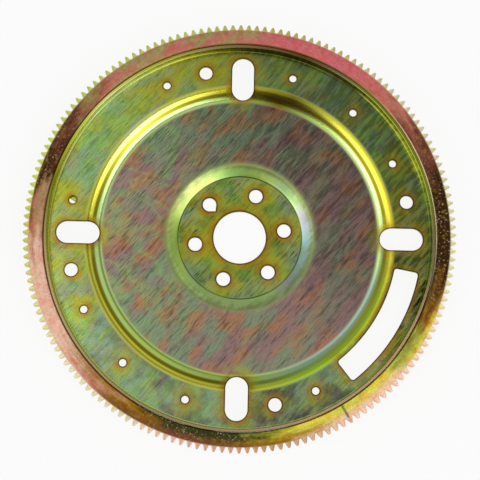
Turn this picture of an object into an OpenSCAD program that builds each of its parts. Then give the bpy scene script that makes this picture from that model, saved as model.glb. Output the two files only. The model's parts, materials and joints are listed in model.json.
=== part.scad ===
// Flexplate: a stamped steel disc that bolts to a crankshaft flange, carries the torque converter
// on four slotted holes and wears the starter's ring gear around its flanged rim.
// The origin is the centre of the pilot bore on the hub's back face, which lies on the crankshaft.
// +Z points to the converter, and +X runs through one of the converter slots.

/* [Sheet] */
// Thickness of the stamped sheet
sheet_t = 2.5; // [1.6:0.1:3.2]
// Bore that centres the plate on the crankshaft's pilot
pilot_d = 44.5; // [38:0.5:54]

/* [Hub] */
// Radius of the hub's flat, where its slope begins
hub_flat_r = 52.2; // [49:0.2:54]
// Radius at which the slope has run out into the disc
hub_slope_r = 64; // [62:0.5:80]
// Height of the disc above the hub
hub_rise = 6; // [3:0.25:8]
// Inside radius of the bend at the foot of the slope
hub_foot_bend = 1.5; // [0.5:0.25:3]
// Inside radius of the bend at the top of the slope
hub_top_bend = 7.5; // [2:0.5:10]

/* [Disc and annulus] */
// Width of the annulus from the rim's outside to where its flat ends
annulus_w = 32.6; // [32:0.2:36]
// Width of the step between disc and annulus
step_w = 14.4; // [10:0.2:30]
// Height of the annulus above the disc
annulus_rise = 3.5; // [2:0.25:5]
// Inside radius of both bends of the step between disc and annulus
step_bend = 11.75; // [3:0.25:13]

/* [Flange] */
// Outside radius of the turned-up rim, from which the annulus, its holes and the ring take their places
flange_r = 163.3; // [148:0.1:180]
// Height of the rim's edge above the annulus
flange_h = 10; // [6:0.5:14]
// Inside radius of the bend between annulus and rim
flange_bend = 1; // [0.5:0.25:4]

/* [Crankshaft bolts] */
// Radius of the bolt circle
crank_circle_r = 38.1; // [34:0.1:41]
// Clear diameter of each bolt hole
crank_hole_d = 11.5; // [10:0.1:13]
// Number of bolt holes
crank_holes = 6; // [4:1:8]
// Angle of the first bolt hole
crank_first_deg = 9.9; // [0:0.1:20]
// Which hole is set off its even place, so that the plate fits one way only
crank_offset_hole = 2; // [0:1:3]
// How far that hole is turned from its even place
crank_offset_deg = 3.5; // [0:0.5:6]
// Depth of the corner that marks that hole, towards the bore
crank_mark_depth = 1.9; // [1:0.1:2.5]
// Width of the corner where it leaves the hole
crank_mark_w = 6.4; // [3:0.2:7]

/* [Converter slots] */
// Number of slots
slots = 4; // [3:1:4]
// Distance of the slots' centres from the rim's outside
slot_in = 27.2; // [25:0.1:30]
// Length of a slot along its radius
slot_len = 36; // [24:0.5:40]
// Width of a slot
slot_w = 18.6; // [10:0.2:22]

/* [Access and tooling holes] */
// Distance of these holes' centres from the rim's outside
hole_in = 19.4; // [15:0.1:23]
// Diameter of the four drain access holes
drain_d = 11; // [8:0.5:15]
// Angle from a slot to the drain hole beside it
drain_deg = 12.8; // [11:0.2:16]
// Diameter of the tooling holes
tool_d = 6.2; // [4:0.2:9]

/* [Balance] */
// Distance of the balance window's outer edge from the rim's outside
window_in = 10.3; // [8:0.1:15]
// Radial width of the balance window
window_w = 20.2; // [14:0.2:22]
// Angle of the middle of the window
window_mid_deg = 329; // [325:0.5:333]
// Angle that the window spans
window_span_deg = 40.7; // [20:0.5:44]
// Corner radius of the window
window_corner = 2.5; // [1:0.25:5]
// Distance of the balance weight's outer edge from the rim's outside
weight_in = 6.3; // [5.5:0.1:12]
// Radial width of the balance weight
weight_band_w = 23; // [16:0.5:25]
// Width of the weight between its straight ends
weight_w = 98; // [60:1:110]
// Thickness of the weight
weight_t = 5.5; // [3:0.25:8]

/* [Ring gear] */
// Number of teeth
teeth = 164; // [130:2:180]
// Radial width of the ring's body below the teeth
ring_body_w = 12.1; // [9:0.1:16]
// Depth of a tooth
tooth_depth = 4.8; // [3.5:0.1:5.5]
// Height of a tooth above its pitch circle
addendum = 2.1; // [1.6:0.1:2.6]
// Thickness of a tooth on the pitch circle
tooth_w = 3.1; // [2.4:0.05:3.3]
// Pressure angle of the flanks
pressure_deg = 20; // [14.5:0.5:22]
// Angle of the first tooth
first_tooth_deg = 0.9; // [0:0.1:2]
// Rounding at the bottom of the gaps between teeth
root_round = 0.7; // [0.3:0.1:0.9]
// Flat broken off each corner of a tooth's tip
tip_break = 0.35; // [0.1:0.05:0.5]
// Thickness of the ring
ring_t = 9.5; // [6:0.25:12]
// How far the ring's front face stands above the rim's edge
ring_proud = 2.5; // [0:0.25:4]
// Gap between the ring and the rim that it sits on
ring_gap = 0.1; // [0:0.05:0.3]
// Chamfer inside the ring's front edge
ring_chamfer = 1; // [0.25:0.25:2]
// Drop of the bevel that lets the starter's pinion enter the teeth
pinion_bevel = 1.5; // [0.5:0.25:3]
// Angle of the seam where the bar's ends were joined into the ring
seam_deg = 301.5; // [0:0.5:360]
// Width of the shallow groove along the seam
seam_w = 1.2; // [0.5:0.1:2]
// Depth of the groove
seam_depth = 0.4; // [0.2:0.1:0.8]

/* [Welds] */
// Number of stitch welds behind the ring
ring_welds = 12; // [6:1:16]
// Angle of the middle of the first stitch
ring_weld_first_deg = 19.5; // [0:0.5:30]
// Angle that a stitch spans
ring_weld_deg = 8; // [4:0.5:12]
// Radius of a stitch's bead
ring_weld_r = 3; // [2:0.25:4]
// Radius of the beads that hold the balance weight
weight_weld_r = 3; // [2:0.25:4]
// Length of each of those beads
weight_weld_len = 16; // [10:1:24]
// Angle from the weight's middle to each of the two beads on its inner edge
weight_weld_deg = 10; // [5:0.5:14]

/* [Hidden] */
$fn = 180;
through = 40;
arc_step_deg = 6;
rim_step_deg = 1.5;
seat_overlap = 1;
cut_margin = 1;
bend_limit = 0.98;

// Heights of the sheet's front face, from the hub outwards
hub_z = sheet_t;
disc_z = hub_z + hub_rise;
annulus_z = disc_z + annulus_rise;
annulus_back_z = annulus_z - sheet_t;
flange_z = annulus_z + flange_h;
half_t = sheet_t / 2;

// Radii on the annulus, from the rim inwards
annulus_flat_r = flange_r - annulus_w;
disc_flat_r = annulus_flat_r - step_w;
slot_circle_r = flange_r - slot_in;
hole_circle_r = flange_r - hole_in;
window_out_r = flange_r - window_in;
window_in_r = window_out_r - window_w;
weight_out_r = flange_r - weight_in;
weight_in_r = weight_out_r - weight_band_w;

// The ring gear, from the rim that it sits on
ring_in_r = flange_r + ring_gap;
ring_front_z = flange_z + ring_proud;
ring_back_z = ring_front_z - ring_t;
root_r = ring_in_r + ring_body_w;
tip_r = root_r + tooth_depth;
pitch_r = tip_r - addendum;
base_r = pitch_r * cos(pressure_deg);
tooth_levels = [root_r + root_round, (root_r + tip_r) / 2, tip_r - tip_break];

// Places of the holes
crank_degs = [for (i = [0 : crank_holes - 1])
    crank_first_deg + i * 360 / crank_holes + (i == crank_offset_hole ? crank_offset_deg : 0)];
slot_degs = [for (i = [0 : slots - 1]) i * 360 / slots];
tool_degs = [26.8, 48.9, 72.7, 116.8, 169, 206.8, 228.9, 252.9, 297];
weight_deg = window_mid_deg + 180;

function involute_deg(a) = tan(a) * 180 / PI - a;

// Half of a tooth's angle at radius r, on an involute flank
function half_tooth_deg(r) = tooth_w / pitch_r * 90 / PI + involute_deg(pressure_deg)
    - involute_deg(acos(base_r / r));

// Angle of the straight part of a step of width w and height h whose bends' radii add up to s
function step_deg(w, h, s) = asin(s / sqrt(w * w + (s - h) * (s - h))) - atan2(s - h, w);

// Share of the wished bends that a step of width w and height h has room for
function bend_share(w, h, s) = min(1, bend_limit * (w * w + h * h) / (2 * h) / s);

function polar(r, a) = r * [cos(a), sin(a)];

// Points along an arc about a centre, from one angle to another
function arc(centre, r, from, to) = let (n = ceil(abs(to - from) / arc_step_deg))
    [for (i = [0 : n]) centre + polar(r, from + (to - from) * i / n)];

// The same arc's points in fine steps, without its two ends
function arc_between(centre, r, from, to) = let (n = ceil(abs(to - from) / rim_step_deg))
    [for (i = [1 : n - 1]) centre + polar(r, from + (to - from) * i / n)];

// One edge of a step of the sheet from a flat up to the next: a bend, a slope and a bend back.
// The points from and to lie on the sheet's middle line, and side is 1 in front and -1 behind.
function step_edge(from, to, foot_bend, top_bend, side) = let (
    w = to.x - from.x,
    h = to.y - from.y,
    share = bend_share(w, h, foot_bend + top_bend + sheet_t),
    foot_r = share * (foot_bend + half_t),
    top_r = share * (top_bend + half_t),
    a = step_deg(w, h, foot_r + top_r)
) [
    each arc(from + [0, foot_r], foot_r - side * half_t, -90, a - 90),
    each arc(to - [0, top_r], top_r + side * half_t, a + 90, 90),
];

// One edge of the stamping's section, from the pilot bore to the rim's edge
function sheet_edge(side) = let (
    hub = hub_z - half_t,
    disc = disc_z - half_t,
    annulus = annulus_z - half_t,
    rim_r = flange_bend + half_t,
    rim_centre = [flange_r - half_t - rim_r, annulus + rim_r]
) [
    [pilot_d / 2, hub + side * half_t],
    each step_edge([hub_flat_r, hub], [hub_slope_r, disc], hub_foot_bend, hub_top_bend, side),
    each step_edge([disc_flat_r, disc], [annulus_flat_r, annulus], step_bend, step_bend, side),
    each arc(rim_centre, rim_r - side * half_t, -90, 0),
    [flange_r - half_t - side * half_t, flange_z],
];

// The whole stamping before it is pierced
module stamping() {
    back = sheet_edge(-1);
    rotate_extrude() polygon([
        each sheet_edge(1),
        for (i = [len(back) - 1 : -1 : 0]) back[i],
    ]);
}

// Upright round cutter at a polar place
module drill(r, a, d) {
    translate([each polar(r, a), -through / 2]) cylinder(d = d, h = 2 * through);
}

// Cutter for a slot with round ends, lying along a radius
module slot_cutter(a) {
    reach = (slot_len - slot_w) / 2;
    rotate(a) translate([slot_circle_r, 0, -through / 2]) {
        for (x = [-reach, reach]) translate([x, 0, 0]) cylinder(d = slot_w, h = 2 * through);
        translate([-reach, -slot_w / 2, 0]) cube([2 * reach, slot_w, 2 * through]);
    }
}

// Cutter for the pointed corner of the hole that is set off its even place
module mark_cutter(a) {
    hole_r = crank_hole_d / 2;
    half_w = crank_mark_w / 2;
    foot = crank_circle_r - sqrt(hole_r * hole_r - half_w * half_w);
    tip = crank_circle_r - hole_r - crank_mark_depth;
    rotate(a) translate([0, 0, -through / 2]) linear_extrude(2 * through)
        polygon([[tip, 0], [foot, -half_w], [crank_circle_r, 0], [foot, half_w]]);
}

// Cutter for the balance window: an arc band with radial ends and round corners
module window_cutter() {
    c = window_corner;
    half = window_span_deg / 2;
    in_turn = half - asin(c / (window_in_r + c));
    out_turn = half - asin(c / (window_out_r - c));
    rotate(window_mid_deg) translate([0, 0, -through / 2]) linear_extrude(2 * through) polygon([
        each arc_between([0, 0], window_out_r, -out_turn, out_turn),
        each arc(polar(window_out_r - c, out_turn), c, out_turn, half + 90),
        each arc(polar(window_in_r + c, in_turn), c, half + 90, in_turn + 180),
        each arc_between([0, 0], window_in_r, in_turn, -in_turn),
        each arc(polar(window_in_r + c, -in_turn), c, 180 - in_turn, 270 - half),
        each arc(polar(window_out_r - c, -out_turn), c, 270 - half, 360 - out_turn),
    ]);
}

module stamped_plate() {
    color("#8c8a56") difference() {
        stamping();
        for (a = crank_degs) drill(crank_circle_r, a, crank_hole_d);
        mark_cutter(crank_degs[crank_offset_hole]);
        for (a = slot_degs) slot_cutter(a);
        for (a = slot_degs) drill(hole_circle_r, a + drain_deg, drain_d);
        for (a = tool_degs) drill(hole_circle_r, a, tool_d);
        window_cutter();
    }
}

// Half of a tooth's outline on one side, from the bottom of the gap to the tip with its corner broken
function flank_points(mid, side) = [
    polar(root_r, mid + side * (half_tooth_deg(root_r) + root_round / root_r * 180 / PI)),
    for (r = tooth_levels) polar(r, mid + side * half_tooth_deg(r)),
    polar(tip_r, mid + side * (half_tooth_deg(tip_r) - tip_break / tip_r * 180 / PI)),
];

// Outline of one tooth
function tooth_points(mid) = let (far = flank_points(mid, 1)) [
    each flank_points(mid, -1),
    for (i = [len(far) - 1 : -1 : 0]) far[i],
];

// Section of the blank that the teeth are cut into
module ring_section() {
    beyond = tip_r + tooth_depth;
    bevel_in_r = root_r + root_round / 2;
    bevel_slope = pinion_bevel / (tip_r - bevel_in_r);
    polygon([
        [ring_in_r, ring_back_z],
        [beyond, ring_back_z],
        [beyond, ring_front_z - bevel_slope * (beyond - bevel_in_r)],
        [bevel_in_r, ring_front_z],
        [ring_in_r + ring_chamfer, ring_front_z],
        [ring_in_r, ring_front_z - ring_chamfer],
    ]);
}

// Section of the groove along the seam
module seam_section() {
    half_w = seam_w / 2;
    polygon([[0, -seam_depth], [half_w, 0], [half_w, cut_margin], [-half_w, cut_margin], [-half_w, 0]]);
}

module ring_gear() {
    outline = [for (i = [0 : teeth - 1]) each tooth_points(first_tooth_deg + i * 360 / teeth)];
    color("#a98a54") difference() {
        intersection() {
            translate([0, 0, ring_back_z - cut_margin])
                linear_extrude(ring_t + 2 * cut_margin) polygon(outline);
            rotate_extrude() ring_section();
        }
        rotate(seam_deg) translate([ring_in_r - cut_margin, 0, ring_front_z]) rotate([90, 0, 90])
            linear_extrude(ring_body_w + cut_margin) seam_section();
    }
}

// Room that the sheet and the ring take up behind the rim
module ring_weld_seat() {
    bend_out = flange_bend + sheet_t;
    bend_centre = [flange_r - bend_out, annulus_z + flange_bend];
    translate(bend_centre) circle(bend_out);
    translate([bend_centre.x - bend_out, annulus_back_z]) square([bend_out, flange_h]);
    translate([bend_centre.x, bend_centre.y]) square([bend_out + ring_gap, flange_h]);
    translate([flange_r - seat_overlap, ring_back_z]) square([tip_r - flange_r, ring_t]);
}

module ring_stitch_welds() {
    color("#7f7440") for (i = [0 : ring_welds - 1])
        rotate(ring_weld_first_deg + i * 360 / ring_welds - ring_weld_deg / 2)
        rotate_extrude(angle = ring_weld_deg) difference() {
            translate([ring_in_r, ring_back_z]) circle(ring_weld_r);
            ring_weld_seat();
        }
}

// The weight's outline: an arc band cut off by two straight ends along its middle radius
module weight_outline() {
    intersection() {
        difference() {
            circle(weight_out_r);
            circle(weight_in_r);
        }
        rotate(weight_deg) translate([0, -weight_w / 2]) square([weight_out_r, weight_w]);
    }
}

module balance_weight() {
    color("#86805a") translate([0, 0, annulus_back_z - weight_t]) linear_extrude(weight_t) weight_outline();
}

// Quarter-round beads in the corners between the weight's sides and the sheet
module weight_welds() {
    span = weight_weld_len / weight_in_r * 180 / PI;
    end_x = sqrt(weight_out_r * weight_out_r - weight_w * weight_w / 4) - weight_weld_len / 2;
    color("#7f7440") rotate(weight_deg) {
        for (a = [-weight_weld_deg, weight_weld_deg]) rotate(a - span / 2)
            rotate_extrude(angle = span) intersection() {
                translate([weight_in_r, annulus_back_z]) circle(weight_weld_r);
                translate([weight_in_r - weight_weld_r, annulus_back_z - weight_weld_r])
                    square(weight_weld_r);
            }
        for (side = [-1, 1]) translate([end_x, side * weight_w / 2, annulus_back_z])
            rotate([90, 0, 90]) linear_extrude(weight_weld_len / 2) intersection() {
                circle(weight_weld_r);
                translate([side > 0 ? 0 : -weight_weld_r, -weight_weld_r]) square(weight_weld_r);
            }
    }
}

stamped_plate();
ring_gear();
ring_stitch_welds();
balance_weight();
weight_welds();
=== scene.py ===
# %% [markdown]
# # A flexplate with a yellow zinc finish
# A flexplate is the thin steel disc between an engine's crankshaft and its torque converter. One sheet is
# pressed into a shallow dish and turned up at the rim, a toothed ring is welded round it for the starter, and
# the whole thing is dipped in a zinc bath that leaves a skin of changing yellows, greens and pinks.
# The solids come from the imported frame. This lesson dresses them: each piece is a surface worked out with
# numpy, with the soft bends and broken edges of a real pressing, and each finish is a set of shader nodes.

# %% The frame
import json

import bmesh
import bpy
import numpy as np
from mathutils import Matrix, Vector
from mathutils.geometry import delaunay_2d_cdt


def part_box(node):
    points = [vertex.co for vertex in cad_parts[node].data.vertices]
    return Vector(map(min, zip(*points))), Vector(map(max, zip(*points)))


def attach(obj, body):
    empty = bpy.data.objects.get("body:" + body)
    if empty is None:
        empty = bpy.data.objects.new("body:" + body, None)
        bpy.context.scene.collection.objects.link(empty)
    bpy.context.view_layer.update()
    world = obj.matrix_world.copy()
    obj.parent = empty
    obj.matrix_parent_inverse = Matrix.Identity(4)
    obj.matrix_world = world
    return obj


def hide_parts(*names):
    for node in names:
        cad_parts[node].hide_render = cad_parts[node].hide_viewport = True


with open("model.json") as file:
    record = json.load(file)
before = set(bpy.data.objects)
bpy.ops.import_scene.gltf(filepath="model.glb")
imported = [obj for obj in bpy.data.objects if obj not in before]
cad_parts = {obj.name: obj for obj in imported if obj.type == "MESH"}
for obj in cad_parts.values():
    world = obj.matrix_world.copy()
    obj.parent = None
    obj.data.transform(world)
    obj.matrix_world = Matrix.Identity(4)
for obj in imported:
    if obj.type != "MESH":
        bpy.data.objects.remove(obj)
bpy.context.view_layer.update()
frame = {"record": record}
MM = 0.001
mounts = {mount["name"]: mount for mount in frame["record"]["mounts"]}

# %% [markdown]
# ## The sheet's section
# The pressing has three flats, the hub, the disc and the annulus, each a step above the last, and a rim that
# is turned up by a quarter bend. A section is enough to know it all, because the dish is turned about one
# axis: the height is a function of the radius alone. The steps are two arcs joined by a straight slope. The
# slope's angle follows from the step's width, its height and the two bend radii.

# %% Sizes of the sheet, in millimetres
SHEET = mounts["pilot_bore"]["dims"]["length_mm"]
PILOT_R = mounts["pilot_bore"]["dims"]["r_mm"]
HUB_FLAT_R = 52.2
HUB_SLOPE_R = 64.0
HUB_FOOT_BEND = 1.5
HUB_TOP_BEND = 7.5
DISC_Z = SHEET + 6.0
DISC_FLAT_R = 116.3
ANNULUS_FLAT_R = 130.7
ANNULUS_Z = mounts["converter_face"]["pos_m"][2] / MM
STEP_BEND = 11.75
FLANGE_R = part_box("stamped_plate")[1][0] / MM
FLANGE_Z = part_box("stamped_plate")[1][2] / MM
FLANGE_BEND = 1.0
HALF = SHEET / 2


def arc_points(centre, radius, start, stop, count=20):
    """An arc: the centre plus the radius times the cosine and sine of angles from start to stop degrees."""
    turn = np.radians(np.linspace(start, stop, count))
    return np.column_stack([centre[0] + radius * np.cos(turn), centre[1] + radius * np.sin(turn)])


def step_edge(foot, top, foot_bend, top_bend, side):
    """One edge of a step, in front (side 1) or behind (side -1): an arc, the slope and the arc back.

    The slope is the inner tangent of the two bend circles. With w and h the step's width and height and s
    the sum of the radii, its angle is asin(s / |(w, s - h)|) less the angle of the vector (w, s - h).
    """
    foot_r = foot_bend + HALF
    top_r = top_bend + HALF
    w, h = top[0] - foot[0], top[1] - foot[1]
    s = foot_r + top_r
    slope = np.degrees(np.arcsin(s / np.hypot(w, s - h)) - np.arctan2(s - h, w))
    low = arc_points((foot[0], foot[1] + foot_r), foot_r - side * HALF, -90, slope - 90)
    high = arc_points((top[0], top[1] - top_r), top_r + side * HALF, slope + 90, 90)
    return np.concatenate([low, high])


def sheet_edge(side):
    """Radius and height of one face of the sheet, from the pilot bore to the start of the rim's bend."""
    hub, disc, annulus = SHEET - HALF, DISC_Z - HALF, ANNULUS_Z - HALF
    return np.concatenate([
        [(PILOT_R - 1, hub + side * HALF)],
        step_edge((HUB_FLAT_R, hub), (HUB_SLOPE_R, disc), HUB_FOOT_BEND, HUB_TOP_BEND, side),
        step_edge((DISC_FLAT_R, disc), (ANNULUS_FLAT_R, annulus), STEP_BEND, STEP_BEND, side),
        [(FLANGE_R, annulus + side * HALF)],
    ])


FRONT_EDGE = sheet_edge(1)
BACK_EDGE = sheet_edge(-1)


def front_height(radius):
    """Height of the front face at a radius, read off the section."""
    return np.interp(radius, FRONT_EDGE[:, 0], FRONT_EDGE[:, 1])


def back_height(radius):
    """Height of the back face at a radius, read off the section."""
    return np.interp(radius, BACK_EDGE[:, 0], BACK_EDGE[:, 1])


print("sheet from", back_height(PILOT_R), "to", front_height(FLANGE_R - 5), "mm")

# %% [markdown]
# ## The outlines of the holes
# Every hole is punched straight through, so in plan it is a closed loop: a circle, a slot with round ends, an
# arc band for the balance window, or a circle with one square corner for the bolt hole that is set off its
# even place. The bolt holes and slots are read from the record's mounts, so they can't drift from the solids.

# %% Loops in plan
HOLE_CIRCLE_R = 143.9
DRAIN_R = 5.5
DRAIN_DEG = 12.8
TOOL_R = 3.1
TOOL_DEGS = (26.8, 48.9, 72.7, 116.8, 169.0, 206.8, 228.9, 252.9, 297.0)
WINDOW_R = (132.8, 153.0)
WINDOW_MID_DEG = 329.0
WINDOW_SPAN_DEG = 40.7
WINDOW_CORNER = 2.5
MARK_DEPTH = 1.9
MARK_W = 6.4
LOOP_STEP = 0.9


def polar(radius, degrees):
    """Plan points at a radius and an angle."""
    turn = np.radians(degrees)
    return np.stack([radius * np.cos(turn), radius * np.sin(turn)], -1)


def open_arc(centre, radius, start, stop):
    """An arc without its last point, with points about one step apart."""
    count = max(4, int(np.ceil(abs(np.radians(stop - start)) * radius / LOOP_STEP)))
    return arc_points(centre, radius, start, stop, count + 1)[:-1]


def open_line(start, stop):
    """A straight run without its last point."""
    start, stop = np.asarray(start), np.asarray(stop)
    count = max(1, int(np.ceil(np.linalg.norm(stop - start) / LOOP_STEP)))
    return start + (stop - start) * (np.arange(count) / count)[:, None]


def round_loop(centre, radius):
    """A whole circle."""
    return open_arc(centre, radius, 0, 360)


def slot_loop(degrees, centre_r, length, width):
    """A slot along a radius: two half circles joined by straight sides, turned to its angle."""
    reach, half = (length - width) / 2, width / 2
    flat = np.concatenate([
        open_arc((centre_r + reach, 0), half, -90, 90),
        open_line((centre_r + reach, half), (centre_r - reach, half)),
        open_arc((centre_r - reach, 0), half, 90, 270),
        open_line((centre_r - reach, -half), (centre_r + reach, -half)),
    ])
    return turned(flat, degrees)


def turned(points, degrees):
    """Plan points turned about the axis."""
    c, s = np.cos(np.radians(degrees)), np.sin(np.radians(degrees))
    return points @ np.array([[c, s], [-s, c]])


def marked_loop(centre, radius):
    """A bolt hole with a square corner towards the bore: its circle, broken by two lines to the corner."""
    aim = np.degrees(np.arctan2(-centre[1], -centre[0]))
    half = np.degrees(np.arcsin(MARK_W / 2 / radius))
    start = centre + polar(radius, aim + half)
    stop = centre + polar(radius, aim - half)
    tip = centre + polar(radius + MARK_DEPTH, aim)
    return np.concatenate([
        open_arc(centre, radius, aim + half, aim + 360 - half),
        open_line(stop, tip),
        open_line(tip, start),
    ])


def window_loop():
    """The balance window: an arc band with radial ends, and a corner circle tangent to each end and arc."""
    inner, outer = WINDOW_R
    c = WINDOW_CORNER
    half = WINDOW_SPAN_DEG / 2
    in_turn = half - np.degrees(np.arcsin(c / (inner + c)))
    out_turn = half - np.degrees(np.arcsin(c / (outer - c)))
    side, far_side = polar(c, half + 90), polar(c, 270 - half)
    flat = np.concatenate([
        open_arc((0, 0), outer, -out_turn, out_turn),
        open_arc(polar(outer - c, out_turn), c, out_turn, half + 90),
        open_line(polar(outer - c, out_turn) + side, polar(inner + c, in_turn) + side),
        open_arc(polar(inner + c, in_turn), c, half + 90, in_turn + 180),
        open_arc((0, 0), inner, in_turn, -in_turn),
        open_arc(polar(inner + c, -in_turn), c, 180 - in_turn, 270 - half),
        open_line(polar(inner + c, -in_turn) + far_side, polar(outer - c, -out_turn) + far_side),
        open_arc(polar(outer - c, -out_turn), c, 270 - half, 360 - out_turn),
    ])
    return turned(flat, WINDOW_MID_DEG)


def hole_loops():
    """Every hole of the plate but the pilot bore, as a list of closed loops that run anticlockwise."""
    loops = []
    for name, mount in mounts.items():
        if name.startswith("crank_bolt"):
            place = np.array(mount["pos_m"][:2]) / MM
            marked = "small mark" in frame["record"]["mount_notes"][name]["evidence"]
            shape = marked_loop if marked else round_loop
            loops.append(shape(place, mount["dims"]["r_mm"]))
    slot = mounts["converter_slots_x"]["dims"]
    slot_size = (slot["spacing_x_mm"] / 2, slot["slot_length_mm"], 2 * slot["hole_r_mm"])
    for quarter in range(4):
        loops.append(slot_loop(90 * quarter, *slot_size))
        loops.append(round_loop(polar(HOLE_CIRCLE_R, DRAIN_DEG + 90 * quarter), DRAIN_R))
    loops += [round_loop(polar(HOLE_CIRCLE_R, degrees), TOOL_R) for degrees in TOOL_DEGS]
    return loops + [window_loop()]


HOLES = hole_loops()
print(len(HOLES), "holes with", sum(map(len, HOLES)), "points")

# %% [markdown]
# ## The stamped plate
# A plain grid of rings would be cut badly by the holes. The plan is filled with a constrained Delaunay mesh
# instead: rings of points, close together on the bends and wider on the flats, plus the holes' outlines,
# which the mesh may not cross. The rings are kept as edges too, so that no triangle spans the line where a
# bend begins, which would show as a dashed highlight. Lifting that flat mesh by the section's two height
# functions gives the front and the back, straight walls join them in the holes, and the rim's bend is a
# profile carried round the axis. A punched edge is never sharp, so each outline is doubled, and the inner
# loop is dropped a little.

# %% Points in plan
EDGE_BREAK = 0.32
RIM_COLUMNS = 600
RIM_START_R = FLANGE_R - SHEET - FLANGE_BEND
GRID_CLEARANCE = 0.9
NEAR_HOLE = 3.0
BORE_COLUMNS = 160
HUB_COLUMNS = 240
SHEET_COLUMNS = 400
# How far apart the rings lie on the flats, the slopes and the bends, and how far the flats' rings stay away
FLAT_STEP, DISC_STEP, SLOPE_STEP = 2.2, 2.6, 1.0
TOP_STEP, FOOT_STEP, TIGHT_STEP = 0.5, 0.45, 0.25
BORE_MARGIN, HUB_MARGIN, FLAT_MARGIN, RIM_MARGIN = 1.6, 0.4, 1.0, 1.2
ALL_TRIANGLES = 0
PLAN_ACCURACY = 1e-7


def grown(loop, distance):
    """A loop moved outwards along its own normal."""
    along = np.roll(loop, -1, axis=0) - np.roll(loop, 1, axis=0)
    normal = np.stack([along[:, 1], -along[:, 0]], -1)
    return loop + distance * normal / np.linalg.norm(normal, axis=1, keepdims=True)


def distance_to(points, loop):
    """Distance from each point to the nearest point of a loop."""
    gap = points[:, None, :] - loop[None, :, :]
    return np.sqrt((gap ** 2).sum(-1).min(1))


def inside(points, loop):
    """Even-odd test: is a ray from the point crossed an odd number of times by the loop's sides?"""
    a, b = loop, np.roll(loop, -1, axis=0)
    x, y = points[:, :1], points[:, 1:]
    above = (a[:, 1] > y) != (b[:, 1] > y)
    rise = np.where(b[:, 1] == a[:, 1], 1e-12, b[:, 1] - a[:, 1])
    cross = x < (b[:, 0] - a[:, 0]) * (y - a[:, 1]) / rise + a[:, 0]
    return (above & cross).sum(1) % 2 == 1


def ring_radii():
    """Radii of the rings of points: close together on the section's four arcs, wider apart on the flats."""
    arcs = FRONT_EDGE[1:-1, 0].reshape(4, -1)
    hub_foot, hub_top, step_foot, step_top = arcs[:, [0, -1]].tolist()
    stretches = (
        (PILOT_R + BORE_MARGIN, HUB_FLAT_R - HUB_MARGIN, FLAT_STEP),
        (*hub_foot, TIGHT_STEP),
        (hub_foot[1], hub_top[0], SLOPE_STEP),
        (*hub_top, TOP_STEP),
        (HUB_SLOPE_R + FLAT_MARGIN, DISC_FLAT_R - FLAT_MARGIN, DISC_STEP),
        (*step_foot, FOOT_STEP),
        (step_foot[1], step_top[0], SLOPE_STEP),
        (*step_top, TOP_STEP),
        (ANNULUS_FLAT_R + FLAT_MARGIN, RIM_START_R - RIM_MARGIN, FLAT_STEP),
    )
    rows = [np.linspace(a, b, int(np.ceil((b - a) / step)) + 1) for a, b, step in stretches]
    return np.unique(np.concatenate(rows))


def clear_of_holes(points):
    """Which points lie outside every hole and a little away from its edge."""
    keep = np.ones(len(points), bool)
    for loop in HOLES:
        reach = np.linalg.norm(loop - loop.mean(0), axis=1).max() + NEAR_HOLE
        near = np.linalg.norm(points - loop.mean(0), axis=1) < reach
        close = points[near]
        keep[near] &= ~inside(close, loop) & (distance_to(close, loop) > EDGE_BREAK + GRID_CLEARANCE)
    return keep


def grid_points():
    """Rings of points, and the edges between neighbours on a ring, both kept clear of every hole."""
    rows, links, first = [], [], 0
    for index, radius in enumerate(ring_radii()):
        count = HUB_COLUMNS if radius < HUB_SLOPE_R + 0.5 else SHEET_COLUMNS
        degrees = (np.arange(count) + 0.5 * (index % 2)) * 360 / count
        rows.append(polar(radius, degrees))
        here = first + np.arange(count)
        links.append(np.stack([here, np.roll(here, -1)], -1))
        first += count
    points, links = np.concatenate(rows), np.concatenate(links)
    keep = clear_of_holes(points)
    number = np.cumsum(keep) - 1
    return points[keep], number[links[keep[links].all(1)]]


def plan_mesh():
    """Triangles of the plate in plan. Returns points, triangles, and the index range of each outline."""
    bore = polar(PILOT_R, np.arange(BORE_COLUMNS) * 360 / BORE_COLUMNS)
    rim = polar(RIM_START_R, np.arange(RIM_COLUMNS) * 360 / RIM_COLUMNS)
    outlines = [bore] + HOLES
    loops = [rim] + outlines + [grown(loop, EDGE_BREAK) for loop in outlines]
    starts = np.cumsum([0] + [len(loop) for loop in loops])
    edges = np.concatenate([
        np.stack([start + np.arange(len(loop)), start + (np.arange(len(loop)) + 1) % len(loop)], -1)
        for start, loop in zip(starts, loops)
    ])
    grid, links = grid_points()
    points = np.concatenate(loops + [grid])
    edges = np.concatenate([edges, starts[-1] + links])
    filled = delaunay_2d_cdt(points.tolist(), edges.tolist(), [], ALL_TRIANGLES, PLAN_ACCURACY)
    points = np.array([tuple(p) for p in filled[0]])
    triangles = np.array(filled[2])
    middle = points[triangles].mean(1)
    keep = np.linalg.norm(middle, axis=1) < RIM_START_R
    for loop in outlines:
        keep &= ~inside(middle, loop)
    ranges = [(starts[i], starts[i + 1]) for i in range(len(outlines) + 1)]
    return points, triangles[keep], ranges[0], ranges[1:]


plan, plan_faces, rim_range, outline_ranges = plan_mesh()
print("plan:", len(plan), "points,", len(plan_faces), "triangles")

# %% Lifting the plan and adding the rim
WELD_COUNT = 12
WELD_FIRST_DEG = 19.5
WELD_PULL = 0.16
WELD_REACH_DEG = 3.2
BEND_POINTS = 14
WALL_POINTS = 6


def weld_pull(degrees):
    """How far the heat of the stitch welds has drawn the rim outwards: a small bell curve at each weld."""
    spacing = 360 / WELD_COUNT
    away = (degrees - WELD_FIRST_DEG + spacing / 2) % spacing - spacing / 2
    return WELD_PULL * np.exp(-(away / WELD_REACH_DEG) ** 2)


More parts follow.
